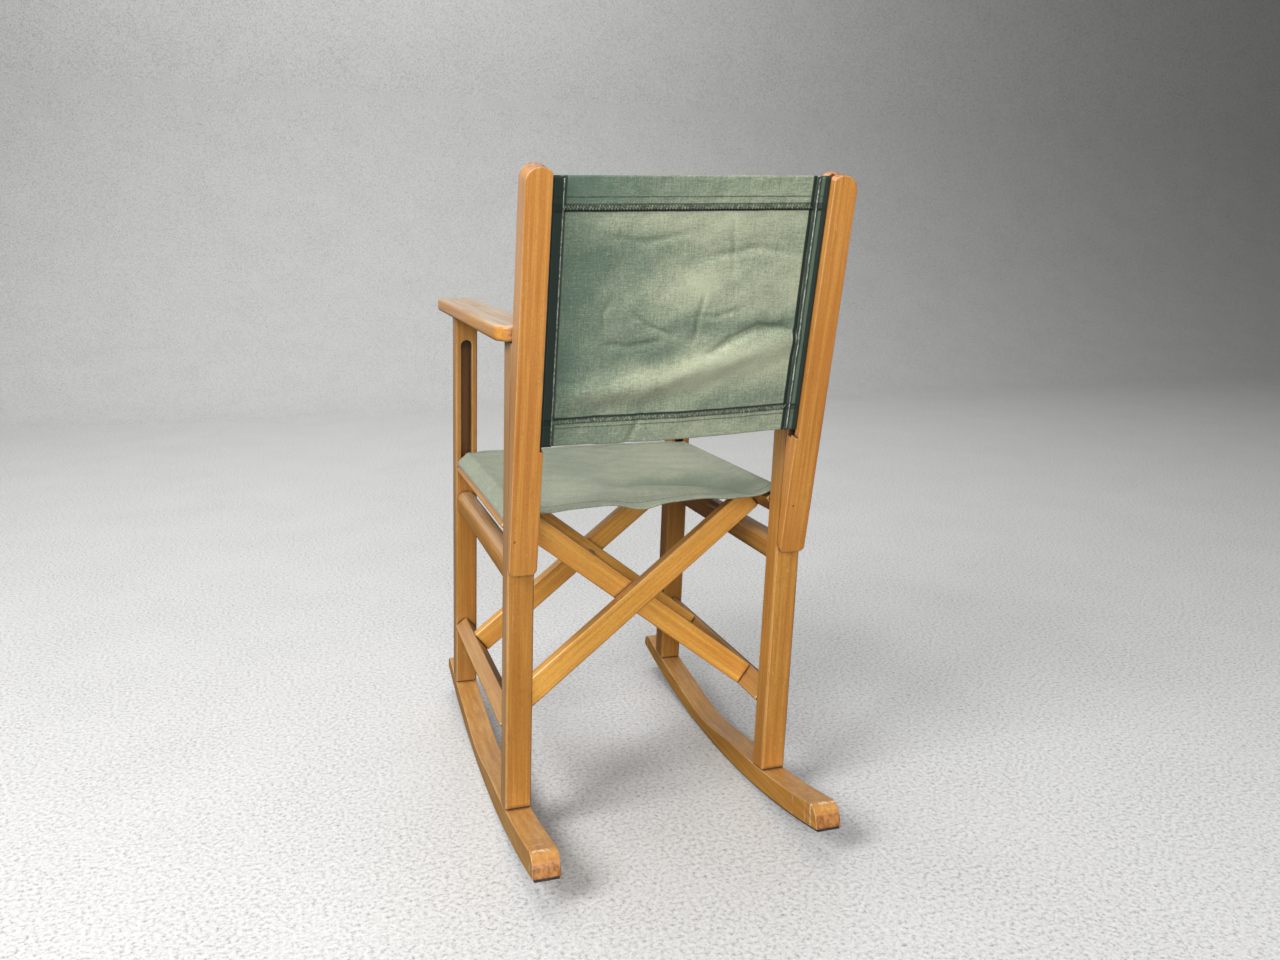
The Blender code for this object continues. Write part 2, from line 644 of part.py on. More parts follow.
def pivot_pin(place):
    """A headed pin through leaf B's slat and into leaf A's, which holds it, and its bores."""
    towards = 1.0 if place == "rear" else -1.0
    inner = slat_range(place, False)
    outer = slat_range(place, True)
    head_face = (inner[0] if place == "rear" else inner[1]) - towards * GAP
    tip = (outer[1] if place == "rear" else outer[0]) - towards * PIVOT_COVER
    axis = (0, PIVOT_Z)
    start, end = sorted((head_face - towards * GAP, tip))
    pin = add_piece(f"{place}_pivot_pin", rod_along_y("pin", PIVOT_DIAMETER, start, end, axis, 16), STEEL, leaf_a)
    start, end = sorted((head_face - towards * PIVOT_HEAD_HEIGHT, head_face))
    head = add_cutter(f"{place}_pivot_head", rod_along_y("head", PIVOT_HEAD_DIAMETER, start, end, axis, 20))
    boolean(pin, head, "UNION")
    start, end = sorted((head_face - towards * CUT_PAST, tip + towards * GAP))
    bore = add_cutter(f"{place}_pivot_bore", rod_along_y("bore", PIVOT_DIAMETER + 2 * GAP, start, end, axis, 16))
    boolean(bpy.data.objects[f"slat_a_{place}"], bore)
    boolean(bpy.data.objects[f"slat_b_{place}"], bore)


pivot_pin("rear")
pivot_pin("front")


# Canvas: the back is a flat panel between its rods, the seat hangs over the rails into their slots

back_half = HALF_SPACING - ROD_X - ROD_DIAMETER / 2 - GAP
back_frame = board_frame(0.0)
back_panel = block("panel", (-back_half, SLOT_Y - CANVAS_THICKNESS / 2, up_board(BACK_CANVAS_BOTTOM_Z)),
                   (back_half, SLOT_Y + CANVAS_THICKNESS / 2, up_board(BACK_CANVAS_TOP_Z)))
add_piece("back_canvas", back_panel, CANVAS, left_side, back_frame)


def seat_section():
    """End view of the seat canvas: from one slot over the rail, sagging, to the other slot."""
    lift = HALF_DEPTH + GAP + CANVAS_THICKNESS / 2
    crest = HALF_WIDTH + GAP + CANVAS_THICKNESS / 2
    along = Vector((math.cos(LEAF_ANGLE), math.sin(LEAF_ANGLE)))
    square = Vector((-math.sin(LEAF_ANGLE), math.cos(LEAF_ANGLE)))
    rail = Vector((HALF_SPACING, RAIL_Z))
    hem = rail + lift * along - SEAT_SLOT_DROP * square
    top = rail + lift * along + crest * square
    inner = rail - HALF_DEPTH * 0.2 * along + crest * square
    half = [hem, top, inner]
    sag_width = inner.x
    low = inner.y - SEAT_CANVAS_SAG
    middle = []
    for i in range(1, SEAT_CANVAS_STEPS):
        x = sag_width * (1 - 2 * i / SEAT_CANVAS_STEPS)
        middle.append(Vector((x, low + SEAT_CANVAS_SAG * (x / sag_width) ** 2)))
    path = half + middle + [Vector((-p.x, p.y)) for p in reversed(half)]
    sides = ([], [])
    for i, point in enumerate(path):
        run = path[min(i + 1, len(path) - 1)] - path[max(i - 1, 0)]
        across = Vector((-run.y, run.x)).normalized() * CANVAS_THICKNESS / 2
        sides[0].append(point + across)
        sides[1].append(point - across)
    return [tuple(p) for p in sides[0] + list(reversed(sides[1]))]


seat_rear = RAIL_REAR_Y - SEAT_CANVAS_INSET
seat_placed = Matrix.Translation((0, (SEAT_CANVAS_FRONT_Y + seat_rear) / 2, 0)) @ ACROSS_XZ
seat_length = seat_rear - SEAT_CANVAS_FRONT_Y
add_piece("seat_canvas", outline_mesh("seat", seat_section(), seat_length, seat_placed), CANVAS, leaf_b)
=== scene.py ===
"""A child's folding rocking chair of varnished beech with a faded canvas seat and back."""

import math

import bpy
import numpy as np
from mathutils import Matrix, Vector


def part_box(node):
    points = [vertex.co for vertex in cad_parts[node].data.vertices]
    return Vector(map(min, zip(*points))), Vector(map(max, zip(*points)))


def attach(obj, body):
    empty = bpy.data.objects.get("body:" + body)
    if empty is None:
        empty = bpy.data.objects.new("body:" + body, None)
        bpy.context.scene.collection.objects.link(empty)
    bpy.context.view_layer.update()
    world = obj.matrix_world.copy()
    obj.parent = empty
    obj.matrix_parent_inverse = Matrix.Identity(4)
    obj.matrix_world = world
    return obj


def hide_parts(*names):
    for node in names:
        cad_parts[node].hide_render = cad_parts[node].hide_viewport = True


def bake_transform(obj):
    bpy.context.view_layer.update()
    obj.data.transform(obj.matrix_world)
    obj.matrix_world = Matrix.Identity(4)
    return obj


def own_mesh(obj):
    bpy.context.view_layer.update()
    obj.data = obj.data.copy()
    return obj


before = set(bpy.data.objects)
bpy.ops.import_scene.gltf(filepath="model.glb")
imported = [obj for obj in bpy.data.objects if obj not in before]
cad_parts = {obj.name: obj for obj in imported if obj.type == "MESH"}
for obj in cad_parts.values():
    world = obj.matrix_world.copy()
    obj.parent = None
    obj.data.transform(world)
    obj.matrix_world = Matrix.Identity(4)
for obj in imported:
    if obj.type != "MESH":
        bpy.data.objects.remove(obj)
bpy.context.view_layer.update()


# Rockers
# Each rocker is sawn from a beech board to an arc, scooped on top between the posts and rounded at both
# ends. A thin black strip is glued under it so that it grips the floor.

VARNISH = ((0.62, (0.445, 0.158, 0.034)), (0.80, (0.51, 0.198, 0.042)),
           (0.95, (0.57, 0.236, 0.050)), (1.0, (0.62, 0.280, 0.062)))
END_GRAIN = ((0.40, (0.22, 0.070, 0.020)), (0.58, (0.50, 0.220, 0.075)))
BARE_TOP = ((0.62, (0.32, 0.225, 0.140)), (1.0, (0.52, 0.425, 0.32)))
FLECK_BROWN = (0.25, 0.075, 0.010)
SMUDGE_BROWN = (0.26, 0.095, 0.016)
KNOT_BROWN = (0.10, 0.035, 0.010)
# The next two are painted shade: in a piece's own hollows, and where another part comes close.
HOLLOW_SHADE_BROWN = (0.045, 0.014, 0.005)
CONTACT_SHADE_BROWN = (0.085, 0.030, 0.009)
EDGE_WOOD = (0.70, 0.49, 0.26)
SCUFF_WOOD = (0.66, 0.45, 0.22)
SCRATCH_WOOD = (0.74, 0.56, 0.36)
OUTER_FACE_GREY = (0.50, 0.385, 0.255)


def add_node(tree, kind, *sockets, **values):
    """Make a shader node: values are its settings or inputs by name, sockets its inputs in order.

    An output of another node is linked to the input, and anything else is set on it.
    """
    made = tree.nodes.new(kind)
    for key, value in (*values.items(), *enumerate(sockets)):
        if isinstance(key, str) and key not in made.inputs:
            setattr(made, key, value)
        elif isinstance(value, bpy.types.NodeSocket):
            tree.links.new(value, made.inputs[key])
        else:
            made.inputs[key].default_value = value
    return made


def blank_material(name):
    """A node material with only a Principled shader; returns the material, its tree and the shader."""
    made = bpy.data.materials.new(name)
    made.use_nodes = True
    return made, made.node_tree, made.node_tree.nodes["Principled BSDF"]


def scaled(colour, share):
    """A linear colour times a share."""
    return tuple(share * part for part in colour)


def stretched_noise(tree, place, cell, detail, roughness, shift=(0.0, 0.0, 0.0), turn=(0.0, 0.0, 0.0)):
    """Noise with cells of a size in metres, moved by a shift and turned by three angles."""
    mapping = add_node(tree, "ShaderNodeMapping", vector_type="TEXTURE", Vector=place, Location=shift,
                       Rotation=turn, Scale=cell)
    noise = add_node(tree, "ShaderNodeTexNoise", Vector=mapping.outputs["Vector"], Scale=1.0, Detail=detail,
                     Roughness=roughness)
    return noise.outputs["Fac"]


def sum_of(tree, first, second, share):
    """first + share * second, as shader sockets."""
    return add_node(tree, "ShaderNodeMath", second, share, first, operation="MULTIPLY_ADD").outputs[0]


def product_of(tree, first, second):
    """The product of two shader sockets."""
    return add_node(tree, "ShaderNodeMath", first, second, operation="MULTIPLY").outputs[0]


def distance_from(tree, value, middle):
    """How far a shader socket is from a number, without its sign."""
    away = add_node(tree, "ShaderNodeMath", value, middle, operation="SUBTRACT").outputs[0]
    return add_node(tree, "ShaderNodeMath", away, operation="ABSOLUTE").outputs[0]


def rise_between(tree, value, low, high, floor=0.0, top=1.0):
    """A smooth step of a shader socket from floor at low to top at high."""
    node = add_node(tree, "ShaderNodeMapRange", value, low, high, floor, top, interpolation_type="SMOOTHSTEP")
    return node.outputs["Result"]


def colours_by(tree, value, stops):
    """A colour ramp: stops are pairs of a place from 0 to 1 and a linear colour."""
    node = add_node(tree, "ShaderNodeValToRGB", value)
    ramp = node.color_ramp
    while len(ramp.elements) < len(stops):
        ramp.elements.new(0.5)
    for element, (place, colour) in zip(ramp.elements, stops):
        element.position = place
        element.color = (*colour, 1.0)
    return node.outputs["Color"]


def mixed_colour(tree, share, first, second):
    """Mix two colours by a share; each is a socket or a plain linear colour."""
    first, second = ((*colour, 1.0) if isinstance(colour, tuple) else colour for colour in (first, second))
    node = add_node(tree, "ShaderNodeMix", data_type="RGBA", Factor=share, A=first, B=second)
    return node.outputs["Result"]


def beech(name, turn, shift, tone=1.0, worn_top=0.0, yellow=1.0, paler_side=0.0, lines=(), knots=(), rub=1.0):
    """Honey varnish on beech: streaks along the grain, flecks, rubbed edges, end grain, painted shade in
    hollows and where parts meet.

    turn is the rotation that takes +Z to the grain, shift moves the pattern, tone scales the colour,
    worn_top is how far the varnish is gone from faces that look up, yellow scales its green, and the sign
    of paler_side tells which side, towards +X or -X, is made paler, greyer and rougher. lines are scratches
    and joints: each is the direction it is measured along, its place there, its half width, its strength,
    how far it wanders and its colour. knots are dark spots: each is its centre and its radius. rub scales the
    wear on edges and faces.
    """
    made, tree, shader = blank_material(name)
    coords = add_node(tree, "ShaderNodeTexCoord")
    place = coords.outputs["Object"]

    def grained(cell, detail, roughness):
        """Noise turned with the grain."""
        return stretched_noise(tree, place, cell, detail, roughness, shift, turn)

    streak = grained((0.0050, 0.0050, 0.30), 4.0, 0.60)
    fibre = grained((0.0008, 0.0008, 0.060), 3.0, 0.62)
    blotch = grained((0.035, 0.035, 0.12), 3.0, 0.5)
    fleck = grained((0.0006, 0.0006, 0.0028), 2.0, 0.6)
    nicks = grained((0.004, 0.004, 0.009), 3.0, 0.7)
    scuff = grained((0.0016, 0.0016, 0.0075), 3.0, 0.7)
    smudge = grained((0.0085, 0.0085, 0.024), 4.0, 0.65)
    pores = grained((0.0034, 0.0060, 0.05), 4.0, 0.7)
    grain = sum_of(tree, sum_of(tree, streak, fibre, 0.55), blotch, 0.26)
    toned = [(at, (tone * r, tone * yellow * g, tone * b)) for at, (r, g, b) in VARNISH]
    colour = colours_by(tree, grain, toned)
    flecks = rise_between(tree, fleck, 0.48, 0.70, 0.0, 0.36)
    colour = mixed_colour(tree, flecks, colour, scaled(FLECK_BROWN, tone))

    rounded = add_node(tree, "ShaderNodeBevel", samples=6, Radius=0.0018)
    flat = add_node(tree, "ShaderNodeNewGeometry")
    facing = add_node(tree, "ShaderNodeVectorMath", rounded.outputs["Normal"], flat.outputs["Normal"],
                      operation="DOT_PRODUCT")
    edge = rise_between(tree, facing.outputs["Value"], 0.995, 0.90)
    uneven = rise_between(tree, sum_of(tree, blotch, nicks, 0.8), 0.66, 1.0, 0.05 * rub, 0.65 * rub)
    rubbed = product_of(tree, edge, uneven)
    colour = mixed_colour(tree, rubbed, colour, EDGE_WOOD)

    grouped = rise_between(tree, sum_of(tree, blotch, nicks, 0.5), 0.66, 0.90)
    scuffs = product_of(tree, rise_between(tree, scuff, 0.60, 0.74, 0.0, 0.60 * rub), grouped)
    colour = mixed_colour(tree, scuffs, colour, SCUFF_WOOD)
    smudges = rise_between(tree, smudge, 0.54, 0.80, 0.0, 0.38)
    colour = mixed_colour(tree, smudges, colour, scaled(SMUDGE_BROWN, tone))

    along = add_node(tree, "ShaderNodeVectorRotate", rotation_type="EULER_XYZ", invert=True, Rotation=turn,
                     Vector=coords.outputs["Normal"])
    split = add_node(tree, "ShaderNodeSeparateXYZ", along.outputs["Vector"])
    end_grain = rise_between(tree, distance_from(tree, split.outputs["Z"], 0.0), 0.72, 0.93, 0.0, 0.85)
    colour = mixed_colour(tree, end_grain, colour, colours_by(tree, pores, END_GRAIN))
    # Painted shade: darker in the piece's own hollows, found by ambient occlusion.
    hollow = add_node(tree, "ShaderNodeAmbientOcclusion", samples=8, only_local=True, Distance=0.016)
    painted_shade = rise_between(tree, hollow.outputs["AO"], 0.80, 0.42, 0.0, 0.96)
    colour = mixed_colour(tree, painted_shade, colour, HOLLOW_SHADE_BROWN)
    # Painted shade where another part or the floor comes within a centimetre.
    corner = add_node(tree, "ShaderNodeAmbientOcclusion", samples=8, Distance=0.010)
    contact_shade = rise_between(tree, corner.outputs["AO"], 0.72, 0.46, 0.0, 0.72)
    colour = mixed_colour(tree, contact_shade, colour, CONTACT_SHADE_BROWN)

    roughness = rise_between(tree, blotch, 0.3, 0.75, 0.30, 0.46)
    up = add_node(tree, "ShaderNodeSeparateXYZ", coords.outputs["Normal"])
    # The faces towards one side are made paler, greyer and rougher.
    if paler_side != 0.0:
        outer_low, outer_high = math.copysign(0.55, paler_side), math.copysign(0.95, paler_side)
        outer = rise_between(tree, up.outputs["X"], outer_low, outer_high, 0.0, abs(paler_side))
        cloudy = rise_between(tree, sum_of(tree, blotch, streak, 0.5), 0.5, 0.95, 0.6, 1.0)
        dull = product_of(tree, outer, cloudy)
        colour = mixed_colour(tree, dull, colour, OUTER_FACE_GREY)
        roughness = sum_of(tree, roughness, dull, 0.25)
    for across, middle, half, strength, wander, line_colour in lines:
        measured = add_node(tree, "ShaderNodeVectorMath", place, across, operation="DOT_PRODUCT")
        wavering = sum_of(tree, measured.outputs["Value"], nicks, wander)
        away = distance_from(tree, wavering, middle + 0.5 * wander)
        core = rise_between(tree, away, half, 0.3 * half, 0.0, strength)
        broken = rise_between(tree, smudge, 0.42, 0.56, 1.0 - min(1.0, 110 * wander), 1.0)
        colour = mixed_colour(tree, product_of(tree, core, broken), colour, line_colour)
    for centre, radius in knots:
        reach = add_node(tree, "ShaderNodeVectorMath", place, centre, operation="DISTANCE")
        knot = rise_between(tree, reach.outputs["Value"], radius, 0.4 * radius, 0.0, 0.85)
        colour = mixed_colour(tree, knot, colour, KNOT_BROWN)
    if worn_top > 0.0:
        top = rise_between(tree, up.outputs["Z"], 0.35, 0.95, 0.0, worn_top)
        cloudy = rise_between(tree, sum_of(tree, blotch, streak, 0.6), 0.60, 0.95, 0.7, 1.0)
        patchy = product_of(tree, top, cloudy)
        colour = mixed_colour(tree, patchy, colour, colours_by(tree, grain, BARE_TOP))
        roughness = sum_of(tree, roughness, patchy, 0.2)
    tree.links.new(colour, shader.inputs["Base Color"])
    tree.links.new(sum_of(tree, roughness, rubbed, 0.2), shader.inputs["Roughness"])
    bump = add_node(tree, "ShaderNodeBump", Strength=0.22, Distance=0.0004, Normal=rounded.outputs["Normal"],
                    Height=sum_of(tree, fibre, streak, 0.7))
    tree.links.new(bump.outputs["Normal"], shader.inputs["Normal"])
    shader.inputs["Coat Weight"].default_value = 0.22
    shader.inputs["Coat Roughness"].default_value = 0.22
    return made


def mottled(name, cell, detail, stops, roughness):
    """A material with one noise behind its colour, by stops, and its roughness, by a smooth step."""
    made, tree, shader = blank_material(name)
    place = add_node(tree, "ShaderNodeTexCoord").outputs["Object"]
    tone = stretched_noise(tree, place, cell, detail, 0.6)
    tree.links.new(colours_by(tree, tone, stops), shader.inputs["Base Color"])
    tree.links.new(rise_between(tree, tone, *roughness), shader.inputs["Roughness"])
    return made


def finish_node(name, finish):
    """Give a CAD node its finish as its one material."""
    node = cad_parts[name]
    node.data.materials.clear()
    node.data.materials.append(finish)


ALONG_Y = (-math.pi / 2, 0.0, 0.0)
SIDES = (("left", 1.0), ("right", -1.0))
SIDES_APART = 0.300
SCRATCH_WANDER = 0.009
# Scratches across the rockers' ends: place in Y, slant, half width and strength.
END_SCRATCHES = ((0.264, 0.08, 0.0022, 1.0), (0.247, -0.25, 0.0012, 0.8), (0.228, 0.4, 0.0010, 0.7),
                 (-0.264, 0.1, 0.0016, 0.8), (-0.236, 0.3, 0.0008, 0.5))
STRIP_BLACK = ((0.35, (0.010, 0.010, 0.010)), (0.8, (0.06, 0.055, 0.05)))

strip_black = mottled("black_strip", (0.004, 0.012, 0.004), 4.0, STRIP_BLACK, (0.3, 0.8, 0.62, 0.9))
for side, sign in SIDES:
    scratches = [((slant, 1.0, 0.0), place + slant * sign * SIDES_APART / 2, half, strength, SCRATCH_WANDER,
                  SCRATCH_WOOD) for place, slant, half, strength in END_SCRATCHES]
    rocker_beech = beech(f"{side}_rocker_beech", ALONG_Y, (sign * 0.31, 0.2, 0.05), tone=1.02, worn_top=0.16,
                         yellow=1.14, paler_side=sign * 0.20, lines=scratches, rub=1.5)
    finish_node(f"{side}_rocker", rocker_beech)
    finish_node(f"{side}_rocker_strip", strip_black)


# Posts
# Square posts of planed beech, glued to the rockers and leaning back. A groove is routed in the face
# towards the seat for the sliding pin of a seat rail, and a bore below takes the bottom bar's tenon.

POST_LEAN = math.radians(5.6)
ENDS = (("front", 0.0), ("rear", 1.0))

for side, sign in SIDES:
    for end, step in ENDS:
        shift = (sign * 0.13 + 0.07 * step, 0.21 * step, 0.4 * sign)
        post_beech = beech(f"{side}_{end}_post_beech", (-POST_LEAN, 0.0, 0.0), shift,
                           tone=0.81 + (0.10 - 0.03 * sign) * step, yellow=1.08, paler_side=sign * 0.38, rub=1.5)
        finish_node(f"{side}_{end}_post", post_beech)


# Upper stretchers
# A rail of rounded section between the posts of each side, just under the seat. Its top has lost much of
# its varnish.

for side, sign in SIDES:
    stretcher_beech = beech(f"{side}_stretcher_beech", ALONG_Y, (sign * 0.5, 0.3, 0.2), tone=0.92,
                            worn_top=0.45, yellow=1.12)
    finish_node(f"{side}_upper_stretcher", stretcher_beech)


# Armrests
# Flat beech boards over both posts, with rounded corners and edges. Their tops are rubbed bare and pale.

def corner_rounded(width, length, radii, inset, steps=9):
    """Outline of a board in plan, corners in the order +x+y, -x+y, -x-y, +x-y, moved in by an inset."""
    outline = []
    for turn, (radius, sx, sy) in enumerate(zip(radii, (1, -1, -1, 1), (1, 1, -1, -1))):
        angle = (turn + np.linspace(0, 1, steps)) * np.pi / 2
        middle = np.array([sx * (width / 2 - radius), sy * (length / 2 - radius)])
        outline.append(middle + (radius - inset) * np.stack([np.cos(angle), np.sin(angle)], -1))
    return np.concatenate(outline)


def ring_faces(rings, count, first=0):
    """Faces of a closed stack of rings of count points: four-sided between rings, and one at each end."""
    start = first + np.arange(rings - 1)[:, None] * count
    here = np.arange(count)[None]
    there = (here + 1) % count
    quads = np.stack([start + here, start + there, start + there + count, start + here + count], -1)
    bottom = first + np.arange(count)[::-1]
    top = first + (rings - 1) * count + np.arange(count)
    return quads.reshape(-1, 4).tolist() + [bottom.tolist(), top.tolist()]


def new_piece(name, points, faces):
    """A smooth-shaded object at the origin."""
    mesh = bpy.data.meshes.new(name)
    mesh.from_pydata(points.tolist(), [], faces)
    mesh.shade_smooth()
    made = bpy.data.objects.new(name, mesh)
    bpy.context.scene.collection.objects.link(made)
    return made


ARM_RISE = math.radians(1.4)
ARM_THICKNESS = 0.016
ARM_WIDTH = 0.048
ARM_EDGE = 0.0040
ARM_CORNERS = (0.023, 0.007, 0.024, 0.014)

edge_turn = np.linspace(0, np.pi / 2, 5)
edge_out = ARM_EDGE * (1 - np.sin(edge_turn))
edge_up = ARM_EDGE * (1 - np.cos(edge_turn))
ring_inset = np.concatenate([edge_out, edge_up])
ring_height = np.concatenate([edge_up, ARM_THICKNESS - edge_out])
for side, sign in SIDES:
    arm_low, arm_high = (np.array(corner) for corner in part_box(f"{side}_armrest"))
    arm_length = (arm_high[1] - arm_low[1] - ARM_THICKNESS * math.sin(ARM_RISE)) / math.cos(ARM_RISE)
    rings = np.stack([corner_rounded(ARM_WIDTH, arm_length, ARM_CORNERS, inset) for inset in ring_inset])
    flat_y = rings[..., 1]
    flat_z = ring_height[:, None] - ARM_THICKNESS / 2
    tilted_y = flat_y * math.cos(ARM_RISE) + flat_z * math.sin(ARM_RISE)
    tilted_z = flat_z * math.cos(ARM_RISE) - flat_y * math.sin(ARM_RISE)
    arm_points = np.stack([sign * rings[..., 0], tilted_y, tilted_z], -1) + (arm_low + arm_high) / 2
    arm_faces = ring_faces(*flat_y.shape)
    if sign < 0:
        arm_faces = [face[::-1] for face in arm_faces]
    arm_board = new_piece(f"{side}_arm_board", arm_points.reshape(-1, 3), arm_faces)
    arm_beech = beech(f"{side}_armrest_beech", ALONG_Y, (sign * 0.7, 0.1, 0.3), worn_top=0.95, yellow=1.10)
    arm_board.data.materials.append(arm_beech)
    arm_board.modifiers.new("even_shading", "WEIGHTED_NORMAL").keep_sharp = True
    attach(arm_board, f"{side}_side")
    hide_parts(f"{side}_armrest")


# Back boards
# Upright beech boards, rounded at the top and glued and dowelled to the backs of the rear posts. The canvas
# is held by a rod in a slot in the inner edge. The joint with the post shows as a dark line.

BOARD_LEAN = math.radians(13.5)
ALONG_BOARD = (-BOARD_LEAN, 0.0, 0.0)
LAP_SLOPE = math.tan(math.radians(7.8))
LAP_HALF = 0.0010
LAP_BROWN = (0.035, 0.012, 0.004)
BOARD_TOE = 0.009
# The X and Z of the knot in each board's rear face, which stands BOARD_TOE behind the front one at the foot.
KNOTS = {"left": (0.160, 0.342), "right": (-0.1437, 0.359)}
KNOT_RADIUS = 0.0016

board_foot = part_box("left_back_board")[0]
lap_joint = ((0.0, 1.0, -LAP_SLOPE), board_foot[1] - LAP_SLOPE * board_foot[2], LAP_HALF, 0.9, 0.0, LAP_BROWN)
for side, sign in SIDES:
    knot_x, knot_z = KNOTS[side]
    knot_y = board_foot[1] + BOARD_TOE + (knot_z - board_foot[2]) * math.tan(BOARD_LEAN)
    board_beech = beech(f"{side}_board_beech", ALONG_BOARD, (sign * 0.9, 0.4, 0.6), tone=1.05, yellow=1.03,
                        paler_side=sign * 0.28, lines=[lap_joint], knots=[((knot_x, knot_y, knot_z), KNOT_RADIUS)])
    finish_node(f"{side}_back_board", board_beech)
    rod_beech = beech(f"{side}_back_rod_beech", ALONG_BOARD, (sign * 0.2, 0.8, 0.1), tone=0.9)
    for name in ("back_rod", "lower_board_dowel", "upper_board_dowel"):
        finish_node(f"{side}_{name}", rod_beech)


# Crossed leaves
# Each leaf has a bottom bar turning in one side's posts, a seat rail whose round ends slide in the other
# side's grooves, and two slats tenoned into both. The leaves turn on steel pins where the slats cross.

BAR_Z = 0.119
RAIL_Z = 0.353
LEAF_TURN = math.pi / 2 - math.atan2(RAIL_Z - BAR_Z, SIDES_APART)
PLATED_STEEL = ((0.4, (0.55, 0.54, 0.51)), (0.7, (0.33, 0.29, 0.24)))

for letter, sign, bar_side, rail_side in (("a", 1.0, "left", "right"), ("b", -1.0, "right", "left")):
    for end, step in ENDS:
        slat_beech = beech(f"slat_{letter}_{end}_beech", (0.0, -sign * LEAF_TURN, 0.0),
                           (0.3 * step, sign * 0.6, 0.15 * sign), tone=1.36, yellow=1.17, rub=0.7)
        finish_node(f"slat_{letter}_{end}", slat_beech)
    bar_beech = beech(f"{bar_side}_bar_beech", ALONG_Y, (sign * 0.33, 0.5, 0.7), tone=0.94, worn_top=0.30,
                      yellow=1.14)
    finish_node(f"{bar_side}_bottom_bar", bar_beech)
    rail_beech = beech(f"{rail_side}_rail_beech", ALONG_Y, (sign * 0.44, 0.9, 0.2), tone=0.92, yellow=1.10)
    finish_node(f"{rail_side}_seat_rail", rail_beech)
    seat_rod_beech = beech(f"{rail_side}_rod_beech", ALONG_Y, (sign * 0.11, 0.2, 0.9), tone=0.9)
    finish_node(f"{rail_side}_seat_rod", seat_rod_beech)

steel = mottled("plated_pin", (0.002, 0.002, 0.002), 4.0, PLATED_STEEL, (0.3, 0.75, 0.25, 0.5))
steel.node_tree.nodes["Principled BSDF"].inputs["Metallic"].default_value = 1.0
for end in ("front", "rear"):
    finish_node(f"{end}_pivot_pin", steel)


# Back canvas
# One piece of cotton canvas. Its top and bottom hems are turned to the back and sewn with two rows beside an
# overlocked raw edge. Its sides wrap round the rods in the boards' slots and are sewn down on the back.

def cloth_object(name, patches, thickness):
    """One object from grids of points; each patch is an array of points, one of UVs and one of fading with
    painted shade.
    """
    points, uvs, fades_and_shade, faces, first = [], [], [], [], 0
    for grid, uv, fade_and_shade in patches:
        rows, columns = grid.shape[:2]
        corner = first + np.arange(rows - 1)[:, None] * columns + np.arange(columns - 1)[None]
        quads = np.stack([corner, corner + 1, corner + columns + 1, corner + columns], -1)
        faces.append(quads.reshape(-1, 4))
        points.append(grid.reshape(-1, 3))
        uvs.append(uv.reshape(-1, 2))
        fades_and_shade.append(np.broadcast_to(fade_and_shade, grid.shape[:2]).reshape(-1))
        first += rows * columns
    faces = np.concatenate(faces)
    made = new_piece(name, np.concatenate(points), faces.tolist())
    layer = made.data.uv_layers.new(name="cloth")
    layer.data.foreach_set("uv", np.concatenate(uvs)[faces.reshape(-1)].astype(np.float32).reshape(-1))
    fading_and_shade = made.data.attributes.new("fading_and_shade", "FLOAT", "POINT")
    fading_and_shade.data.foreach_set("value", np.concatenate(fades_and_shade).astype(np.float32))
    wall = made.modifiers.new("cloth_thickness", "SOLIDIFY")
    wall.thickness = thickness
    wall.offset = 0.0
    return made


def tube_object(name, paths, normal, radius, sides):
    """Thread: a ring of a few sides carried along each path, across its direction and the cloth's normal."""
    points, faces, first = [], [], 0
    turn = np.arange(sides) * 2 * np.pi / sides
    for path in paths:
        run = np.gradient(path, axis=0)
        run /= np.linalg.norm(run, axis=1, keepdims=True)
        across = np.cross(run, normal)
        across /= np.linalg.norm(across, axis=1, keepdims=True)
        up = np.cross(across, run)
        ring = np.cos(turn)[None, :, None] * across[:, None] + np.sin(turn)[None, :, None] * up[:, None]
        points.append((path[:, None] + radius * ring).reshape(-1, 3))
        faces += ring_faces(len(path), sides, first)
        first += len(path) * sides
    return new_piece(name, np.concatenate(points), faces)


def stitch_paths(surface, start, end, pitch, lift, rise):
    """Short stitches from start to end, in a cloth's own two measures, at a lift and arched by a rise."""
    count = int(round(math.dist(start, end) / pitch))
    share = (np.arange(count)[:, None] + np.linspace(0.10, 0.90, 5)[None]) / count
    arch = lift + rise * np.array([-0.6, 0.7, 1.0, 0.7, -0.6])
    first = start[0] + (end[0] - start[0]) * share
    second = start[1] + (end[1] - start[1]) * share
    return list(surface(first, second, np.broadcast_to(arch, first.shape)))


def overlock_path(surface, start, end, inset, pitch, lift):
    """A thread that runs to and fro between a raw edge and a line inset from it, from start to end."""
    count = int(round(math.dist(start, end) / pitch))
    share = np.arange(8 * count + 1) / (8 * count)
    step = 1 - np.abs(np.arange(8 * count + 1) % 8 - 4) / 4
    first = start[0] + (end[0] - start[0]) * share + inset[0] * step
    second = start[1] + (end[1] - start[1]) * share + inset[1] * step
    return surface(first, second, np.full(first.shape, lift))


def ridge(along, across, line, height, width, span, ease):
    """A fold of cloth: a bell of a height and a width about a line, eased in and out over a span.

    line is points of the two measures, along and across. width is measured across, span and ease along.
    """
    centre = np.interp(along, [p[0] for p in line], [p[1] for p in line])
    inside = np.clip((along - span[0]) / ease, 0, 1) * np.clip((span[1] - along) / ease, 0, 1)
    return height * np.exp(-((across - centre) / width) ** 2) * inside * inside * (3 - 2 * inside)


def patch_of(first, second, spots):
    """Sum of soft round spots: each is its centre, its two widths and its strength."""
    total = np.zeros(np.broadcast(first, second).shape)
    for a, b, width, height, strength in spots:
        total += strength * np.exp(-((first - a) / width) ** 2 - ((second - b) / height) ** 2)
    return total


# Near black, for the bands of painted shade along the canvas's seams, edges and ends in the slots.
CANVAS_SHADE_BLACK = (0.012, 0.020, 0.016)
# The canvas is fresh where its tone is under FADE_START and wholly faded over FADE_END.
FADE_START = 1.34
FADE_END = 2.34


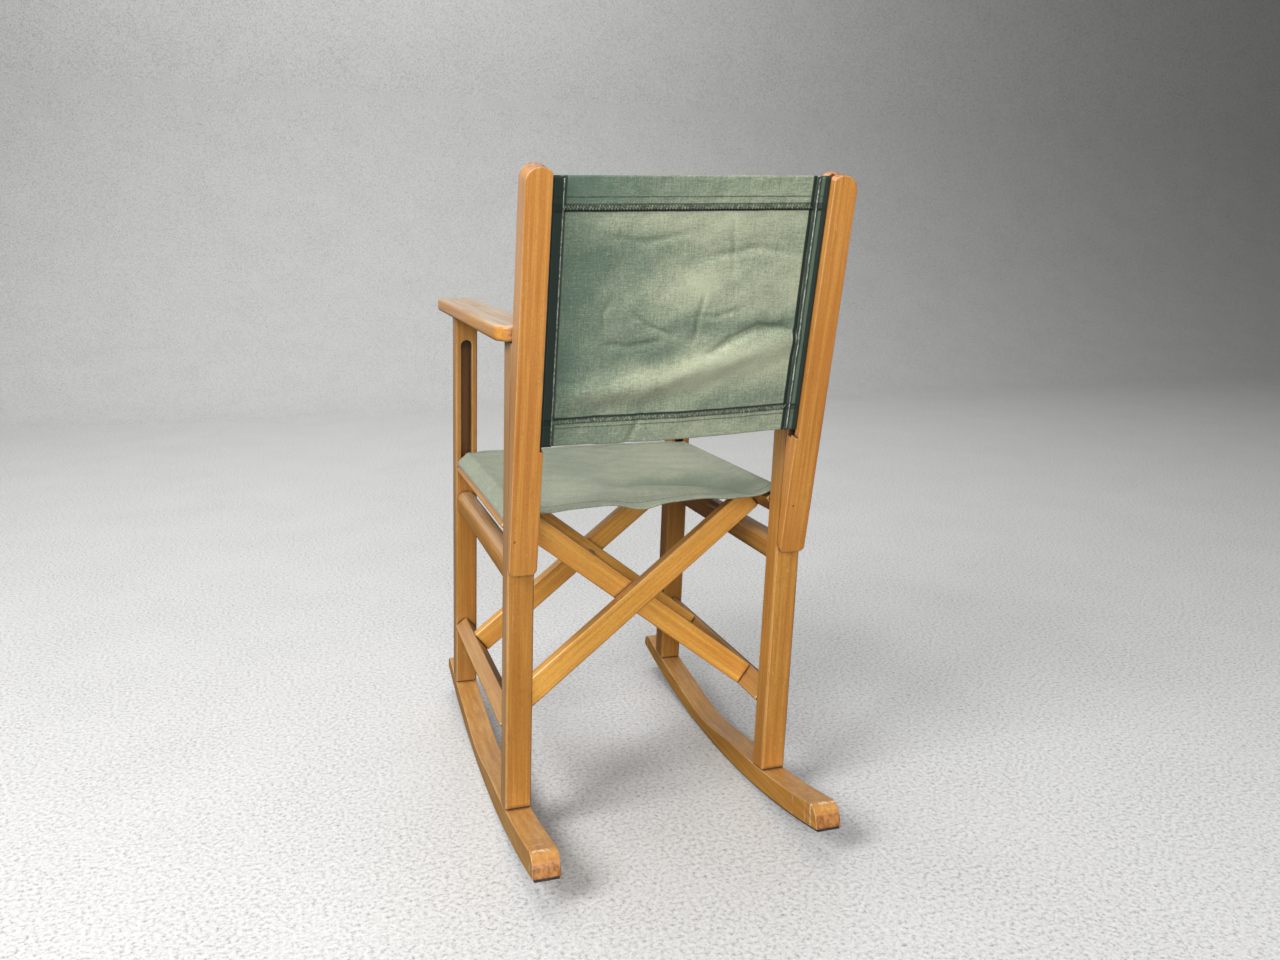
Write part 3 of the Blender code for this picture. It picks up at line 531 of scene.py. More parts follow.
def canvas(name, fresh, faded, seams):
    """Cotton canvas: a plain weave of two threads, slubs, sun fading by attribute with some painted shade and
    highlight in it, and painted shade along its seams.

    seams are bands in the UV map, which is in metres: the axis, the middle, the half width, the strength and
    the share of the half width that is at full strength.
    """
    made, tree, shader = blank_material(name)
    cloth = add_node(tree, "ShaderNodeTexCoord").outputs["UV"]
    # Sun fading, with some painted shade and highlight, read from the attribute.
    fading_and_shade = add_node(tree, "ShaderNodeAttribute", attribute_name="fading_and_shade").outputs["Fac"]
    cloud = stretched_noise(tree, cloth, (0.030, 0.022, 1.0), 4.0, 0.62)
    mottle = stretched_noise(tree, cloth, (0.0032, 0.0028, 1.0), 3.0, 0.6, shift=(3, 1, 0))
    warp = stretched_noise(tree, cloth, (0.0009, 0.022, 1.0), 2.0, 0.6, shift=(0, 5, 0))
    weft = stretched_noise(tree, cloth, (0.018, 0.0009, 1.0), 2.0, 0.6, shift=(7, 0, 0))
    grit = stretched_noise(tree, cloth, (0.0012, 0.0012, 1.0), 2.0, 0.7, shift=(1, 9, 0))
    speck = stretched_noise(tree, cloth, (0.0018, 0.0016, 1.0), 3.0, 0.7, shift=(4, 2, 0))
    threads = sum_of(tree, warp, weft, 1.0)
    tone = sum_of(tree, sum_of(tree, fading_and_shade, cloud, 0.40), mottle, 0.50)
    tone = sum_of(tree, sum_of(tree, tone, threads, 0.44), grit, 0.80)
    between = tuple(0.62 * f + 0.38 * p for f, p in zip(fresh, faded))
    colour = colours_by(tree, rise_between(tree, tone, FADE_START, FADE_END),
                        ((0.0, fresh), (0.45, between), (1.0, faded)))
    specks = rise_between(tree, speck, 0.56, 0.74, 0.0, 0.42)
    colour = mixed_colour(tree, specks, colour, scaled(fresh, 0.55))
    split = add_node(tree, "ShaderNodeSeparateXYZ", cloth)
    # Bands of painted shade along seams, edges and where the cloth is hidden in slots.
    for axis, middle, half, strength, core in seams:
        away = distance_from(tree, split.outputs[axis], middle)
        painted_shade = rise_between(tree, away, half, half * core, 0.0, strength)
        colour = mixed_colour(tree, painted_shade, colour, CANVAS_SHADE_BLACK)
    tree.links.new(colour, shader.inputs["Base Color"])
    tree.links.new(rise_between(tree, mottle, 0.3, 0.8, 0.84, 0.96), shader.inputs["Roughness"])
    shader.inputs["Specular IOR Level"].default_value = 0.22
    shader.inputs["Sheen Weight"].default_value = 0.12
    shader.inputs["Sheen Roughness"].default_value = 0.5
    weave = add_node(tree, "ShaderNodeBump", Strength=0.35, Distance=0.0005,
                     Height=sum_of(tree, threads, mottle, 1.2))
    tree.links.new(weave.outputs["Normal"], shader.inputs["Normal"])
    return made


def thread(name, colour):
    """Sewing thread: a pale cotton with small changes of tone along it."""
    stops = ((0.38, scaled(colour, 0.22)), (0.62, colour))
    return mottled(name, (0.0035, 0.0035, 0.0035), 2.0, stops, (0.3, 0.7, 0.9, 0.7))


# CLOTH is the thickness of the cloth and LAYER the distance from one layer of it to the next.
CLOTH = 0.0011
LAYER = 0.0017
FOLD_RADIUS = LAYER / 2
TOP_HEM = 0.0312
BOTTOM_HEM = 0.0275
SIDE_HEM_X = 0.1252
PANEL_HALF = 0.0007
ROD_CLOTH = 0.0008
HELD_IN = 0.0060
JOIN_IN = 0.0088
ACROSS = np.array([1.0, 0.0, 0.0])
LEAN_UP = np.array([0.0, math.sin(BOARD_LEAN), math.cos(BOARD_LEAN)])
LEAN_BACK = np.array([0.0, math.cos(BOARD_LEAN), -math.sin(BOARD_LEAN)])

# back_foot is the foot of the middle plane of the CAD's panel, which leans and is 2 * PANEL_HALF thick. The
# cloth is held by the boards from held_x outwards, and the side parts join the panel at join_x.
back_low, back_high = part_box("back_canvas")
back_foot = np.array([0.0, back_low[1], back_low[2]]) + PANEL_HALF * LEAN_BACK * (0.0, 1.0, -1.0)
back_height = (back_high[2] - back_low[2] + 2 * PANEL_HALF * LEAN_BACK[2]) / LEAN_UP[2]
rod_low, rod_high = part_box("left_back_rod")
rod_x = (rod_low[0] + rod_high[0]) / 2
rod_wrap = (rod_high[0] - rod_low[0]) / 2 + ROD_CLOTH
held_x = rod_x - HELD_IN
join_x = rod_x - JOIN_IN

# Folds of the back: the line, height, width, span and ease of each. All but the height are in shares of the
# panel. The first run from its left to its right as seen from behind, the others from its foot to its top.
FOLDS_ACROSS = (
    (((0.0, 0.19), (0.38, 0.225), (0.58, 0.285), (0.79, 0.335), (1.0, 0.375)),
     0.0052, 0.050, (0.0, 1.02), 0.10),
    (((0.60, 0.33), (0.70, 0.385), (0.80, 0.43), (0.90, 0.42), (1.0, 0.385)),
     -0.0062, 0.015, (0.56, 1.03), 0.14),
    (((0.0, 0.10), (0.4, 0.14), (0.7, 0.21), (1.0, 0.22)), -0.0022, 0.045, (0.05, 0.95), 0.2),
    (((0.0, 0.232), (0.2, 0.250)), -0.0022, 0.014, (-0.05, 0.20), 0.10),
    (((0.28, 0.53), (0.37, 0.455), (0.48, 0.41)), -0.0034, 0.0075, (0.28, 0.50), 0.07),
    (((0.0, 0.66), (1.0, 0.74)), -0.0014, 0.09, (0.05, 0.95), 0.25),
    (((0.18, 0.40), (0.30, 0.375), (0.44, 0.40)), -0.0026, 0.010, (0.18, 0.45), 0.08),
    (((0.50, 0.50), (0.62, 0.475), (0.74, 0.51)), -0.0018, 0.010, (0.50, 0.75), 0.08),
    (((0.20, 0.79), (0.34, 0.76), (0.52, 0.80)), -0.0018, 0.012, (0.18, 0.54), 0.10),
    (((0.56, 0.70), (0.78, 0.735), (0.94, 0.70)), -0.0020, 0.013, (0.54, 0.96), 0.10))
FOLDS_UP = (
    (((0.36, 0.545), (0.56, 0.575)), -0.0026, 0.0062, (0.36, 0.58), 0.05),
    (((0.0, 0.33), (0.11, 0.375)), -0.0018, 0.011, (-0.03, 0.13), 0.04),
    (((0.44, 0.215), (0.50, 0.205), (0.56, 0.235)), -0.0020, 0.0065, (0.43, 0.57), 0.04),
    (((0.62, 0.685), (0.86, 0.665)), -0.0012, 0.007, (0.60, 0.88), 0.06))


def back_shares(x, s):
    """A place on the back in shares: from left to right as seen from behind, and from foot to top."""
    return (held_x - x) / (2 * held_x), s / back_height


def back_relief(x, s):
    """How far the back canvas stands behind its plane: a soft belly and its folds, none at the boards."""
    a, b = back_shares(x, s)
    relief = 0.0045 * np.sin(np.pi * np.clip(a, 0, 1)) * np.exp(-((b - 0.33) / 0.30) ** 2)
    for fold in FOLDS_ACROSS:
        relief = relief + ridge(a, b, *fold)
    for fold in FOLDS_UP:
        relief = relief + ridge(b, a, *fold)
    relief = relief + 0.0005 * np.sin(31 * a + 9 * b) * np.sin(23 * b + 5 * a)
    relief = relief + 0.00032 * np.sin(58 * a - 21 * b + 2 * np.sin(9 * b)) * np.sin(47 * b + 13 * a)
    return relief * np.clip(1 - (np.abs(x) / held_x) ** 6, 0, 1)


def back_surface(x, s, lift):
    """A place on the back canvas: across, up the boards' lean, and out to the back by its relief and a lift.

    The cloth sags a little at its foot and hangs lower towards the left.
    """
    x, s, lift = np.broadcast_arrays(x, s, lift)
    sag = -0.0020 * np.exp(-s / 0.02) * np.sin(np.pi * (x / held_x + 1) / 2) ** 2
    sag = sag - 0.0006 - 0.0032 * np.clip(x / held_x, -1, 1)
    out = lift + back_relief(x, s)
    return back_foot + x[..., None] * ACROSS + (s + sag)[..., None] * LEAN_UP + out[..., None] * LEAN_BACK


# Spots of the back that are paler or fresher than their surroundings, in shares of the panel. Some pale ones
# on the low fold are painted highlight, and some dark ones along the folds and under the low fold painted
# shade.
BACK_FADE_AND_SHADE_SPOTS = (
    (0.575, 0.61, 0.07, 0.055, 0.26), (0.62, 0.85, 0.26, 0.06, 0.14), (0.55, 0.25, 0.35, 0.09, 0.28),
    (0.85, 0.31, 0.22, 0.06, 0.16), (0.30, 0.72, 0.14, 0.07, -0.12), (0.12, 0.62, 0.10, 0.16, -0.12),
    (0.90, 0.73, 0.10, 0.07, -0.06), (0.36, 0.36, 0.16, 0.06, -0.16), (0.88, 0.44, 0.16, 0.03, -0.32),
    (0.50, 0.45, 0.16, 0.035, -0.14), (0.42, 0.58, 0.12, 0.06, 0.12), (0.20, 0.17, 0.14, 0.05, 0.16),
    (0.08, 0.30, 0.08, 0.10, -0.18), (0.70, 0.13, 0.30, 0.05, -0.10), (0.76, 0.16, 0.22, 0.06, -0.22),
    (0.34, 0.84, 0.14, 0.05, 0.10), (0.93, 0.62, 0.08, 0.10, 0.14), (0.60, 0.44, 0.10, 0.05, -0.16),
    (0.42, 0.34, 0.10, 0.05, -0.16), (0.20, 0.84, 0.14, 0.06, 0.14))


def back_fading_and_shade(x, s):
    """Sun fading of the back: pale in the middle and to the right, fresh down the left and in the top hem,
    with painted shade and highlight along some folds.
    """
    a, b = back_shares(x, s)
    pale = 0.30 + 0.33 * np.clip((a - 0.06) / 0.5, 0, 1)
    hems = (0.18 - 0.08 * a) * (s > back_height - TOP_HEM) + 0.12 * (a - 0.6) * (s < BOTTOM_HEM)
    return pale + patch_of(a, b, BACK_FADE_AND_SHADE_SPOTS) - hems


# Rows of the panel, each a place up the back and a lift: down the bottom hem from its raw edge, round the
# fold, up the panel, round the top fold and down the top hem.
MAIN_ROWS, LOW_ROWS, TOP_ROWS = 105, 12, 14
fold_turn = np.linspace(-np.pi / 2, np.pi / 2, 7)
fold_in = FOLD_RADIUS * np.cos(fold_turn)
fold_up = FOLD_RADIUS * np.sin(fold_turn)
main_rows = np.linspace(FOLD_RADIUS, back_height - FOLD_RADIUS, MAIN_ROWS)[1:-1]
row_s = np.concatenate([np.linspace(BOTTOM_HEM, LAYER, LOW_ROWS), FOLD_RADIUS - fold_in, main_rows,
                        back_height - FOLD_RADIUS + fold_in,
                        np.linspace(back_height - LAYER, back_height - TOP_HEM, TOP_ROWS)])
row_lift = np.concatenate([np.full(LOW_ROWS, LAYER), FOLD_RADIUS - fold_up, np.zeros(len(main_rows)),
                           FOLD_RADIUS + fold_up, np.full(TOP_ROWS, LAYER)])


def back_panel(columns):
    """Points, UVs and fading, with its painted shade and highlight, of the panel at some columns, with its
    two hems.
    """
    x, s = np.broadcast_arrays(columns[None], row_s[:, None])
    return back_surface(x, s, row_lift[:, None]), np.stack([x, s], -1), back_fading_and_shade(x, s)


# Section of a side, from the panel round the rod, out of the slot over a bulge, and along the flap.
wrap_turn = np.linspace(-2.2, 2.2, 15)
wrap_x = rod_x + rod_wrap * np.cos(wrap_turn)
wrap_lift = rod_wrap * np.sin(wrap_turn)
bulge_x = rod_x - np.array([0.0037, 0.0045, 0.0048, 0.0049, 0.0052, 0.0059, 0.0068, 0.0076, 0.0082])
bulge_lift = np.array([0.0031, 0.0035, 0.0041, 0.0047, 0.0053, 0.0056, 0.0053, 0.0048, 0.0042])
flap_x = np.linspace(join_x, SIDE_HEM_X, 8)
side_x = np.concatenate([[held_x], wrap_x, bulge_x, flap_x])
side_lift = np.concatenate([[0.0], wrap_lift, bulge_lift, np.full(8, 2 * LAYER)])
side_run = np.concatenate([[0.0], np.cumsum(np.hypot(np.diff(side_x), np.diff(side_lift)))])
flap_start = len(side_x) - len(flap_x)

# The flap's raw edge waves a little, and on the right it is pinched in one place. In the UV map the sides
# start at SIDE_UV, clear of the panel.
SIDE_UV = 0.30
side_rows = np.linspace(0.0, back_height, 110)
side_u = SIDE_UV + side_run[-1] - side_run
side_fading = np.array(0.05)
flap_wave = 0.0006 * np.sin(side_rows * 130) * np.sin(side_rows * 47 + 1.0)
flap_pinch = 0.0022 * np.exp(-((side_rows / back_height - 0.385) / 0.016) ** 2)
loose = np.concatenate([np.zeros(flap_start + 1), np.linspace(0.2, 1, len(flap_x) - 1)])
back_patches = [back_panel(np.linspace(-join_x, join_x, 121))]
edge_patches = {}
for side, sign in SIDES:
    shown_wave = flap_wave + flap_pinch * (sign < 0)
    shown_x = sign * (side_x[None] + loose[None] * shown_wave[:, None])
    side_points = back_surface(shown_x, side_rows[:, None], side_lift[None])
    side_uv = np.stack(np.broadcast_arrays(sign * side_u[None], side_rows[:, None]), -1)
    order = slice(None, None, -1) if sign > 0 else slice(None)
    edge = back_panel(np.sort(sign * np.linspace(join_x, held_x, 4)))
    wrapped = (side_points[:, :flap_start + 1][:, order], side_uv[:, :flap_start + 1][:, order], side_fading)
    flap = (side_points[:, flap_start:][:, order], side_uv[:, flap_start:][:, order], side_fading)
    back_patches.append(flap)
    edge_patches[side] = [edge, wrapped]

# Bands of painted shade on the back: along the hems and their rows of stitches, along the flaps, beside the
# boards, and where the cloth is hidden in the slots.
TOP_ROW_IN = 0.0190
LOW_ROW = 0.0185
LOW_EDGE_ROW = BOTTOM_HEM - 0.0046
top_row = back_height - TOP_ROW_IN
top_edge = back_height - TOP_HEM
hidden_low = SIDE_UV + join_x - SIDE_HEM_X
hidden_high = SIDE_UV + side_run[-1]
hidden_middle = (hidden_low + hidden_high) / 2
hidden_half = (hidden_high - hidden_middle) * 1.03
back_seams = [
    ("Y", top_edge + 0.0022, 0.0034, 0.62, 0.6), ("Y", BOTTOM_HEM - 0.0020, 0.0030, 0.6, 0.6),
    ("Y", top_edge - 0.0007, 0.0019, 0.95, 0.4), ("Y", BOTTOM_HEM + 0.0005, 0.0015, 0.9, 0.4),
    ("Y", top_row, 0.0008, 0.6, 0.4), ("Y", LOW_ROW, 0.0008, 0.55, 0.4),
    ("Y", top_edge + 0.0054, 0.0010, 0.75, 0.4), ("Y", LOW_EDGE_ROW, 0.0010, 0.6, 0.4),
    ("X", 0.0010 - SIDE_HEM_X, 0.0026, 0.98, 0.5), ("X", SIDE_HEM_X - 0.0010, 0.0022, 0.75, 0.4),
    ("X", held_x, 0.0085, 0.94, 0.8), ("X", -held_x, 0.0085, 0.94, 0.8),
    ("X", hidden_middle, hidden_half, 0.95, 0.94), ("X", -hidden_middle, hidden_half, 0.95, 0.94),
    ("X", SIDE_UV + 0.0042, 0.0074, 0.88, 0.7), ("X", -SIDE_UV, 0.0062, 0.72, 0.7)]
back_cloth = canvas("back_canvas_cloth", (0.097, 0.151, 0.112), (0.500, 0.528, 0.370), back_seams)
back_sheet = cloth_object("back_sheet", back_patches, CLOTH)
back_edges = {side: cloth_object(f"{side}_back_edge", edge_patches[side], CLOTH) for side in edge_patches}
for cloth_piece in (back_sheet, *back_edges.values()):
    cloth_piece.data.materials.append(back_cloth)

STITCH_PITCH = 0.0030
STITCH_RADIUS = 0.00022
OVERLOCK_RADIUS = 0.00032
sewn_x = SIDE_HEM_X - 0.001
stitch_lift = LAYER + CLOTH / 2
hem_lift = stitch_lift + 0.0002
flap_lift = 2 * LAYER + CLOTH / 2 + 0.0002
back_rows = []
for height in (top_row, top_edge + 0.0052, LOW_ROW, LOW_EDGE_ROW):
    back_rows += stitch_paths(back_surface, (sewn_x, height), (-sewn_x, height), STITCH_PITCH, stitch_lift,
                              0.00025)
back_stitching = tube_object("back_stitching", back_rows, LEAN_BACK, STITCH_RADIUS, 4)
back_stitching.data.materials.append(thread("hem_thread", (0.20, 0.23, 0.15)))
hem_edges = [overlock_path(back_surface, (sewn_x, height), (-sewn_x, height), (0.0014, reach), STITCH_PITCH,
                           hem_lift)
             for height, reach in ((top_edge, 0.0046), (BOTTOM_HEM, -0.0042))]
hem_overlock = tube_object("hem_overlock", hem_edges, LEAN_BACK, OVERLOCK_RADIUS, 4)
hem_overlock.data.materials.append(thread("hem_overlock_thread", (0.33, 0.38, 0.28)))
side_edges = [overlock_path(back_surface, (x, 0.002), (x, back_height - 0.002), (reach, 0.0008), 0.0024,
                            flap_lift)
              for x, reach in ((SIDE_HEM_X + 0.0003, 0.0011), (-SIDE_HEM_X - 0.0022, -0.0013))]
side_overlock = tube_object("side_overlock", side_edges, LEAN_BACK, OVERLOCK_RADIUS, 5)
side_overlock.data.materials.append(thread("side_overlock_thread", (0.66, 0.70, 0.60)))

back_pieces = [back_sheet, back_stitching, hem_overlock, side_overlock]
for piece in back_pieces:
    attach(piece, "left_side")
    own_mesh(piece)
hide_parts("back_canvas")
for side in back_edges:
    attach(back_edges[side], f"{side}_side")
    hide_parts("back_canvas")


# Seat canvas
# A second piece of the same canvas, hemmed at front and back. It runs over both seat rails and down into
# the slots in their outer faces, where rods hold it.

SEAT_HEM = 0.014
# From the rail's middle to the cloth on its face and on its top, and the radius of the bend between them.
FACE_LIFT = 0.0118
TOP_LIFT = 0.0150
CORNER = 0.0056
LEAF_ALONG = np.array([math.sin(LEAF_TURN), math.cos(LEAF_TURN)])
LEAF_SQUARE = np.array([-math.cos(LEAF_TURN), math.sin(LEAF_TURN)])

rail_centre = np.array([SIDES_APART / 2, RAIL_Z])
seat_low, seat_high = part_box("seat_canvas")
seat_front = seat_low[1] - 0.002
seat_rear = seat_high[1] + 0.0005


def rail_point(along, square):
    """A place beside the left rail, from its middle: out along the leaf, and square to it."""
    return rail_centre + along[:, None] * LEAF_ALONG + square[:, None] * LEAF_SQUARE


# Half section of the seat: out of the slot, up the rail's face, over its corner and in to the middle.
corner_turn = np.linspace(0.0, math.pi / 2, 7)
in_slot = rail_point(np.array([0.0045, 0.0085, 0.0106, 0.0118, 0.0131, 0.0138]),
                     np.array([-0.0020, -0.0022, -0.0046, -0.0060, -0.0056, -0.0035]))
up_face = rail_point(np.linspace(0.0138, FACE_LIFT, 5), np.linspace(0.000, TOP_LIFT - CORNER, 6)[:-1])
over_corner = rail_point(FACE_LIFT - CORNER + CORNER * np.cos(corner_turn),
                         TOP_LIFT - CORNER + CORNER * np.sin(corner_turn))
rail_run = np.concatenate([in_slot, up_face, over_corner[:-1]])
crest_x, crest_z = rail_run[-1]
seat_half_x = np.concatenate([rail_run[:, 0], np.linspace(crest_x - 0.003, 0.0, 62)])

# Dents and rises of the seat's rear and front edge: centre in X, width and height.
REAR_DENTS = ((0.010, 0.022, -0.0052), (0.118, 0.02, -0.0035), (0.055, 0.03, 0.0010), (-0.050, 0.03, 0.0020),
              (-0.100, 0.025, -0.0015))
FRONT_DENTS = ((0.075, 0.03, -0.0016), (-0.04, 0.04, 0.0012))
# Wrinkles of the seat: the line of each in X and Y, its height and its width.
WRINKLES = (
    (((-0.140, 0.136), (-0.112, 0.118), (-0.090, 0.086), (-0.060, 0.058), (-0.020, 0.043), (0.040, 0.040)),
     -0.0075, 0.020),
    (((-0.140, 0.070), (-0.090, 0.034), (-0.040, 0.012)), 0.0026, 0.022),
    (((-0.130, 0.148), (-0.085, 0.118), (-0.030, 0.096), (0.030, 0.094)), 0.0030, 0.012),
    (((-0.090, 0.128), (0.000, 0.112), (0.070, 0.120)), -0.0025, 0.0050),
    (((-0.020, 0.074), (0.050, 0.066), (0.110, 0.078)), -0.0024, 0.0055),
    (((0.000, 0.100), (0.060, 0.094), (0.115, 0.106)), -0.0020, 0.0045),
    (((0.020, 0.035), (0.110, 0.008)), -0.0021, 0.0060),
    (((-0.060, -0.030), (0.040, -0.050), (0.110, -0.040)), -0.0012, 0.0070))


def dents_at(x, dents):
    """Sum of bells along X: each is its centre, its width and its height."""
    return sum(height * np.exp(-((x - centre) / width) ** 2) for centre, width, height in dents)


def seat_height(x, y):
    """Height of the seat between the rails: nearly flat, up at the rails, with a few long wrinkles."""
    level = 0.3655 - 0.022 * y
    near = np.clip(np.abs(x) / crest_x, 0, 1)
    height = level + (crest_z - level) * near ** 7
    height = height + np.exp(-((y - seat_rear) / 0.020) ** 2) * dents_at(x, REAR_DENTS)
    height = height + np.exp(-((y - seat_front) / 0.018) ** 2) * dents_at(x, FRONT_DENTS)
    for line, depth, width in WRINKLES:
        height = height + ridge(x, y, line, depth, width, (line[0][0], line[-1][0]), 0.035)
    ripples = 0.0005 * np.sin(150 * y + 9 * np.sin(14 * x)) + 0.0004 * np.sin(61 * y - 19 * x + 1.3)
    return height + ripples * np.clip(1 - near ** 4, 0, 1)


# The seat's front corners are rounded from ROUND_START outwards.
ROUND_START = 0.121
ROUND_WIDTH = 0.018
ROUND_DEPTH = 0.0115


def seat_surface(column, share, lift):
    """A place on the seat: a column across it, a share from front to back, and a lift above it.

    A column is a number along the half section, counted from the left slot to the middle and on to the right.
    """
    column, share, lift = np.broadcast_arrays(column, share, lift)
    last = len(seat_half_x) - 1
    inward = np.where(column > last, 2 * last - column, column)
    mirror = np.where(column > last, -1.0, 1.0)
    x = np.interp(inward, np.arange(last + 1), seat_half_x) * mirror
    turned = np.clip((np.abs(x) - ROUND_START) / ROUND_WIDTH, 0, 1)
    front = seat_front + ROUND_DEPTH * (1 - np.sqrt(1 - turned * turned))
    y = front + (seat_rear - front) * share
    rail_z = np.interp(inward, np.arange(len(rail_run)), rail_run[:, 1])
    ease = np.clip((inward - len(rail_run) + 1) / 3, 0, 1)
    z = np.where(inward < len(rail_run), rail_z, crest_z + (seat_height(x, y) - crest_z) * ease)
    return np.stack([x, y, z + lift], -1)


# Rows of the seat, each a share from front to back and a lift, again with hems and folds. The cloth's width
# is measured along MEASURED_ROW.
SEAT_ROWS, HEM_ROWS = 110, 6
MEASURED_ROW = 70
seat_depth = seat_rear - seat_front
hem_share = SEAT_HEM / seat_depth
layer_share = LAYER / seat_depth
fold_share = layer_share / 2
fold_in_share = fold_share * np.cos(fold_turn)
seat_columns = np.arange(2 * len(seat_half_x) - 1)
seat_shares = np.concatenate([np.linspace(hem_share, layer_share, HEM_ROWS), fold_share - fold_in_share,
                              np.linspace(layer_share, 1 - layer_share, SEAT_ROWS),
                              1 - fold_share + fold_in_share,
                              np.linspace(1 - layer_share, 1 - hem_share, HEM_ROWS)])
seat_lifts = np.concatenate([np.full(HEM_ROWS, -LAYER), fold_up - FOLD_RADIUS, np.zeros(SEAT_ROWS),
                             -fold_up - FOLD_RADIUS, np.full(HEM_ROWS, -LAYER)])
seat_points = seat_surface(seat_columns[None], seat_shares[:, None], seat_lifts[:, None])
seat_x, seat_y = seat_points[..., 0], seat_points[..., 1]
seat_steps = np.linalg.norm(np.diff(seat_points[MEASURED_ROW], axis=0), axis=1)
seat_run = np.concatenate([[0.0], np.cumsum(seat_steps)])
seat_uv = np.stack(np.broadcast_arrays(seat_run[None] - seat_run[-1] / 2, seat_y), -1)
# Spots of the seat that are fresher or paler than the rest. The first three, along the deep wrinkle, are
# painted shade in its trough.
seat_fade_and_shade_spots = (
    (-0.105, 0.108, 0.030, 0.030, -0.56), (-0.066, 0.062, 0.034, 0.020, -0.50),
    (-0.015, 0.045, 0.036, 0.018, -0.36), (0.11, 0.0, 0.04, 0.12, 0.02), (-0.10, -0.06, 0.06, 0.11, 0.16),
    (0.0, -0.15, 0.14, 0.02, -0.06), (0.08, 0.13, 0.05, 0.02, 0.10), (0.040, -0.03, 0.035, 0.14, -0.22))
seat_fading_and_shade = 0.50 + patch_of(seat_x, seat_y, seat_fade_and_shade_spots)
seat_sheet = cloth_object("seat_sheet", [(seat_points, seat_uv, seat_fading_and_shade)], CLOTH)
# The seat's bands of painted shade: along the hems' rows of stitches and where the cloth goes into the rails'
# slots.
seat_seams = [("Y", seat_front + SEAT_HEM - 0.002, 0.0009, 0.4, 0.4),
              ("Y", seat_rear - SEAT_HEM + 0.002, 0.0009, 0.4, 0.4),
              ("X", seat_run[-1] / 2, 0.006, 0.8, 0.4), ("X", -seat_run[-1] / 2, 0.006, 0.8, 0.4)]
seat_cloth = canvas("seat_canvas_cloth", (0.174, 0.208, 0.150), (0.478, 0.498, 0.370), seat_seams)
seat_sheet.data.materials.append(seat_cloth)

SEAT_STITCHES = 92
STITCH_SHARE = 0.86
first_column = len(rail_run) + 1
last_column = len(seat_columns) - 1 - first_column
seat_pitch = (last_column - first_column) / SEAT_STITCHES
seat_rows = []
for share in (hem_share * STITCH_SHARE, 1 - hem_share * STITCH_SHARE):
    seat_rows += stitch_paths(seat_surface, (first_column, share), (last_column, share), seat_pitch,
                              CLOTH / 2, 0.00022)
seat_stitching = tube_object("seat_stitching", seat_rows, np.array([0.0, 0.0, 1.0]), STITCH_RADIUS, 4)
seat_stitching.data.materials.append(thread("seat_thread", (0.27, 0.29, 0.21)))
for piece in (seat_sheet, seat_stitching):
    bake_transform(piece)
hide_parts("seat_canvas")


# Floor, light and camera
# A speckled paper sweep lies under the chair and rises behind it. Where it is level it is pale to the camera
# only, and to the lamps it is dark, so that little light comes up from it.

FLOOR_GREY = (0.62, 0.62, 0.617)
FLOOR_WHITE = (0.80, 0.80, 0.80)
FLOOR_DARK = (0.05, 0.05, 0.05)
SWEEP_RADIUS = 1.5

sweep_turn = np.linspace(0.0, math.pi / 2, 24)
sweep_y = np.concatenate([[4.0], -3.0 - SWEEP_RADIUS * np.sin(sweep_turn), [-4.5]])
sweep_z = np.concatenate([[0.0], SWEEP_RADIUS - SWEEP_RADIUS * np.cos(sweep_turn), [5.0]])
sweep_x = np.array([-12.0, 12.0])
sweep_grid = np.stack(np.broadcast_arrays(sweep_x[:, None], sweep_y[None], sweep_z[None]), -1)
near = np.arange(len(sweep_y) - 1)
far = near + len(sweep_y)
sweep_faces = np.stack([near + 1, far + 1, far, near], -1)
paper_sweep = new_piece("paper_sweep", sweep_grid.reshape(-1, 3), sweep_faces.tolist())
paper, paper_tree, paper_shader = blank_material("pale_paper")
paper_place = add_node(paper_tree, "ShaderNodeTexCoord").outputs["Object"]
paper_speck = stretched_noise(paper_tree, paper_place, (0.0048, 0.0048, 0.0048), 5.0, 0.85)
paper_cloud = stretched_noise(paper_tree, paper_place, (0.16, 0.16, 0.16), 3.0, 0.5)
paper_tone = sum_of(paper_tree, paper_speck, paper_cloud, 0.05)
paper_stops = ((0.34, scaled(FLOOR_GREY, 0.30)), (0.50, FLOOR_GREY), (0.72, FLOOR_WHITE))
paper_grey = colours_by(paper_tree, paper_tone, paper_stops)
paper_split = add_node(paper_tree, "ShaderNodeSeparateXYZ", paper_place)
risen = rise_between(paper_tree, paper_split.outputs["Z"], 0.0, 0.5)
seen = add_node(paper_tree, "ShaderNodeLightPath").outputs["Is Camera Ray"]
pale_share = add_node(paper_tree, "ShaderNodeMath", seen, risen, operation="MAXIMUM").outputs[0]
paper_colour = mixed_colour(paper_tree, pale_share, FLOOR_DARK, paper_grey)
paper_tree.links.new(paper_colour, paper_shader.inputs["Base Color"])
paper_shader.inputs["Roughness"].default_value = 0.95
paper_shader.inputs["Specular IOR Level"].default_value = 0.1
paper_sweep.data.materials.append(paper)


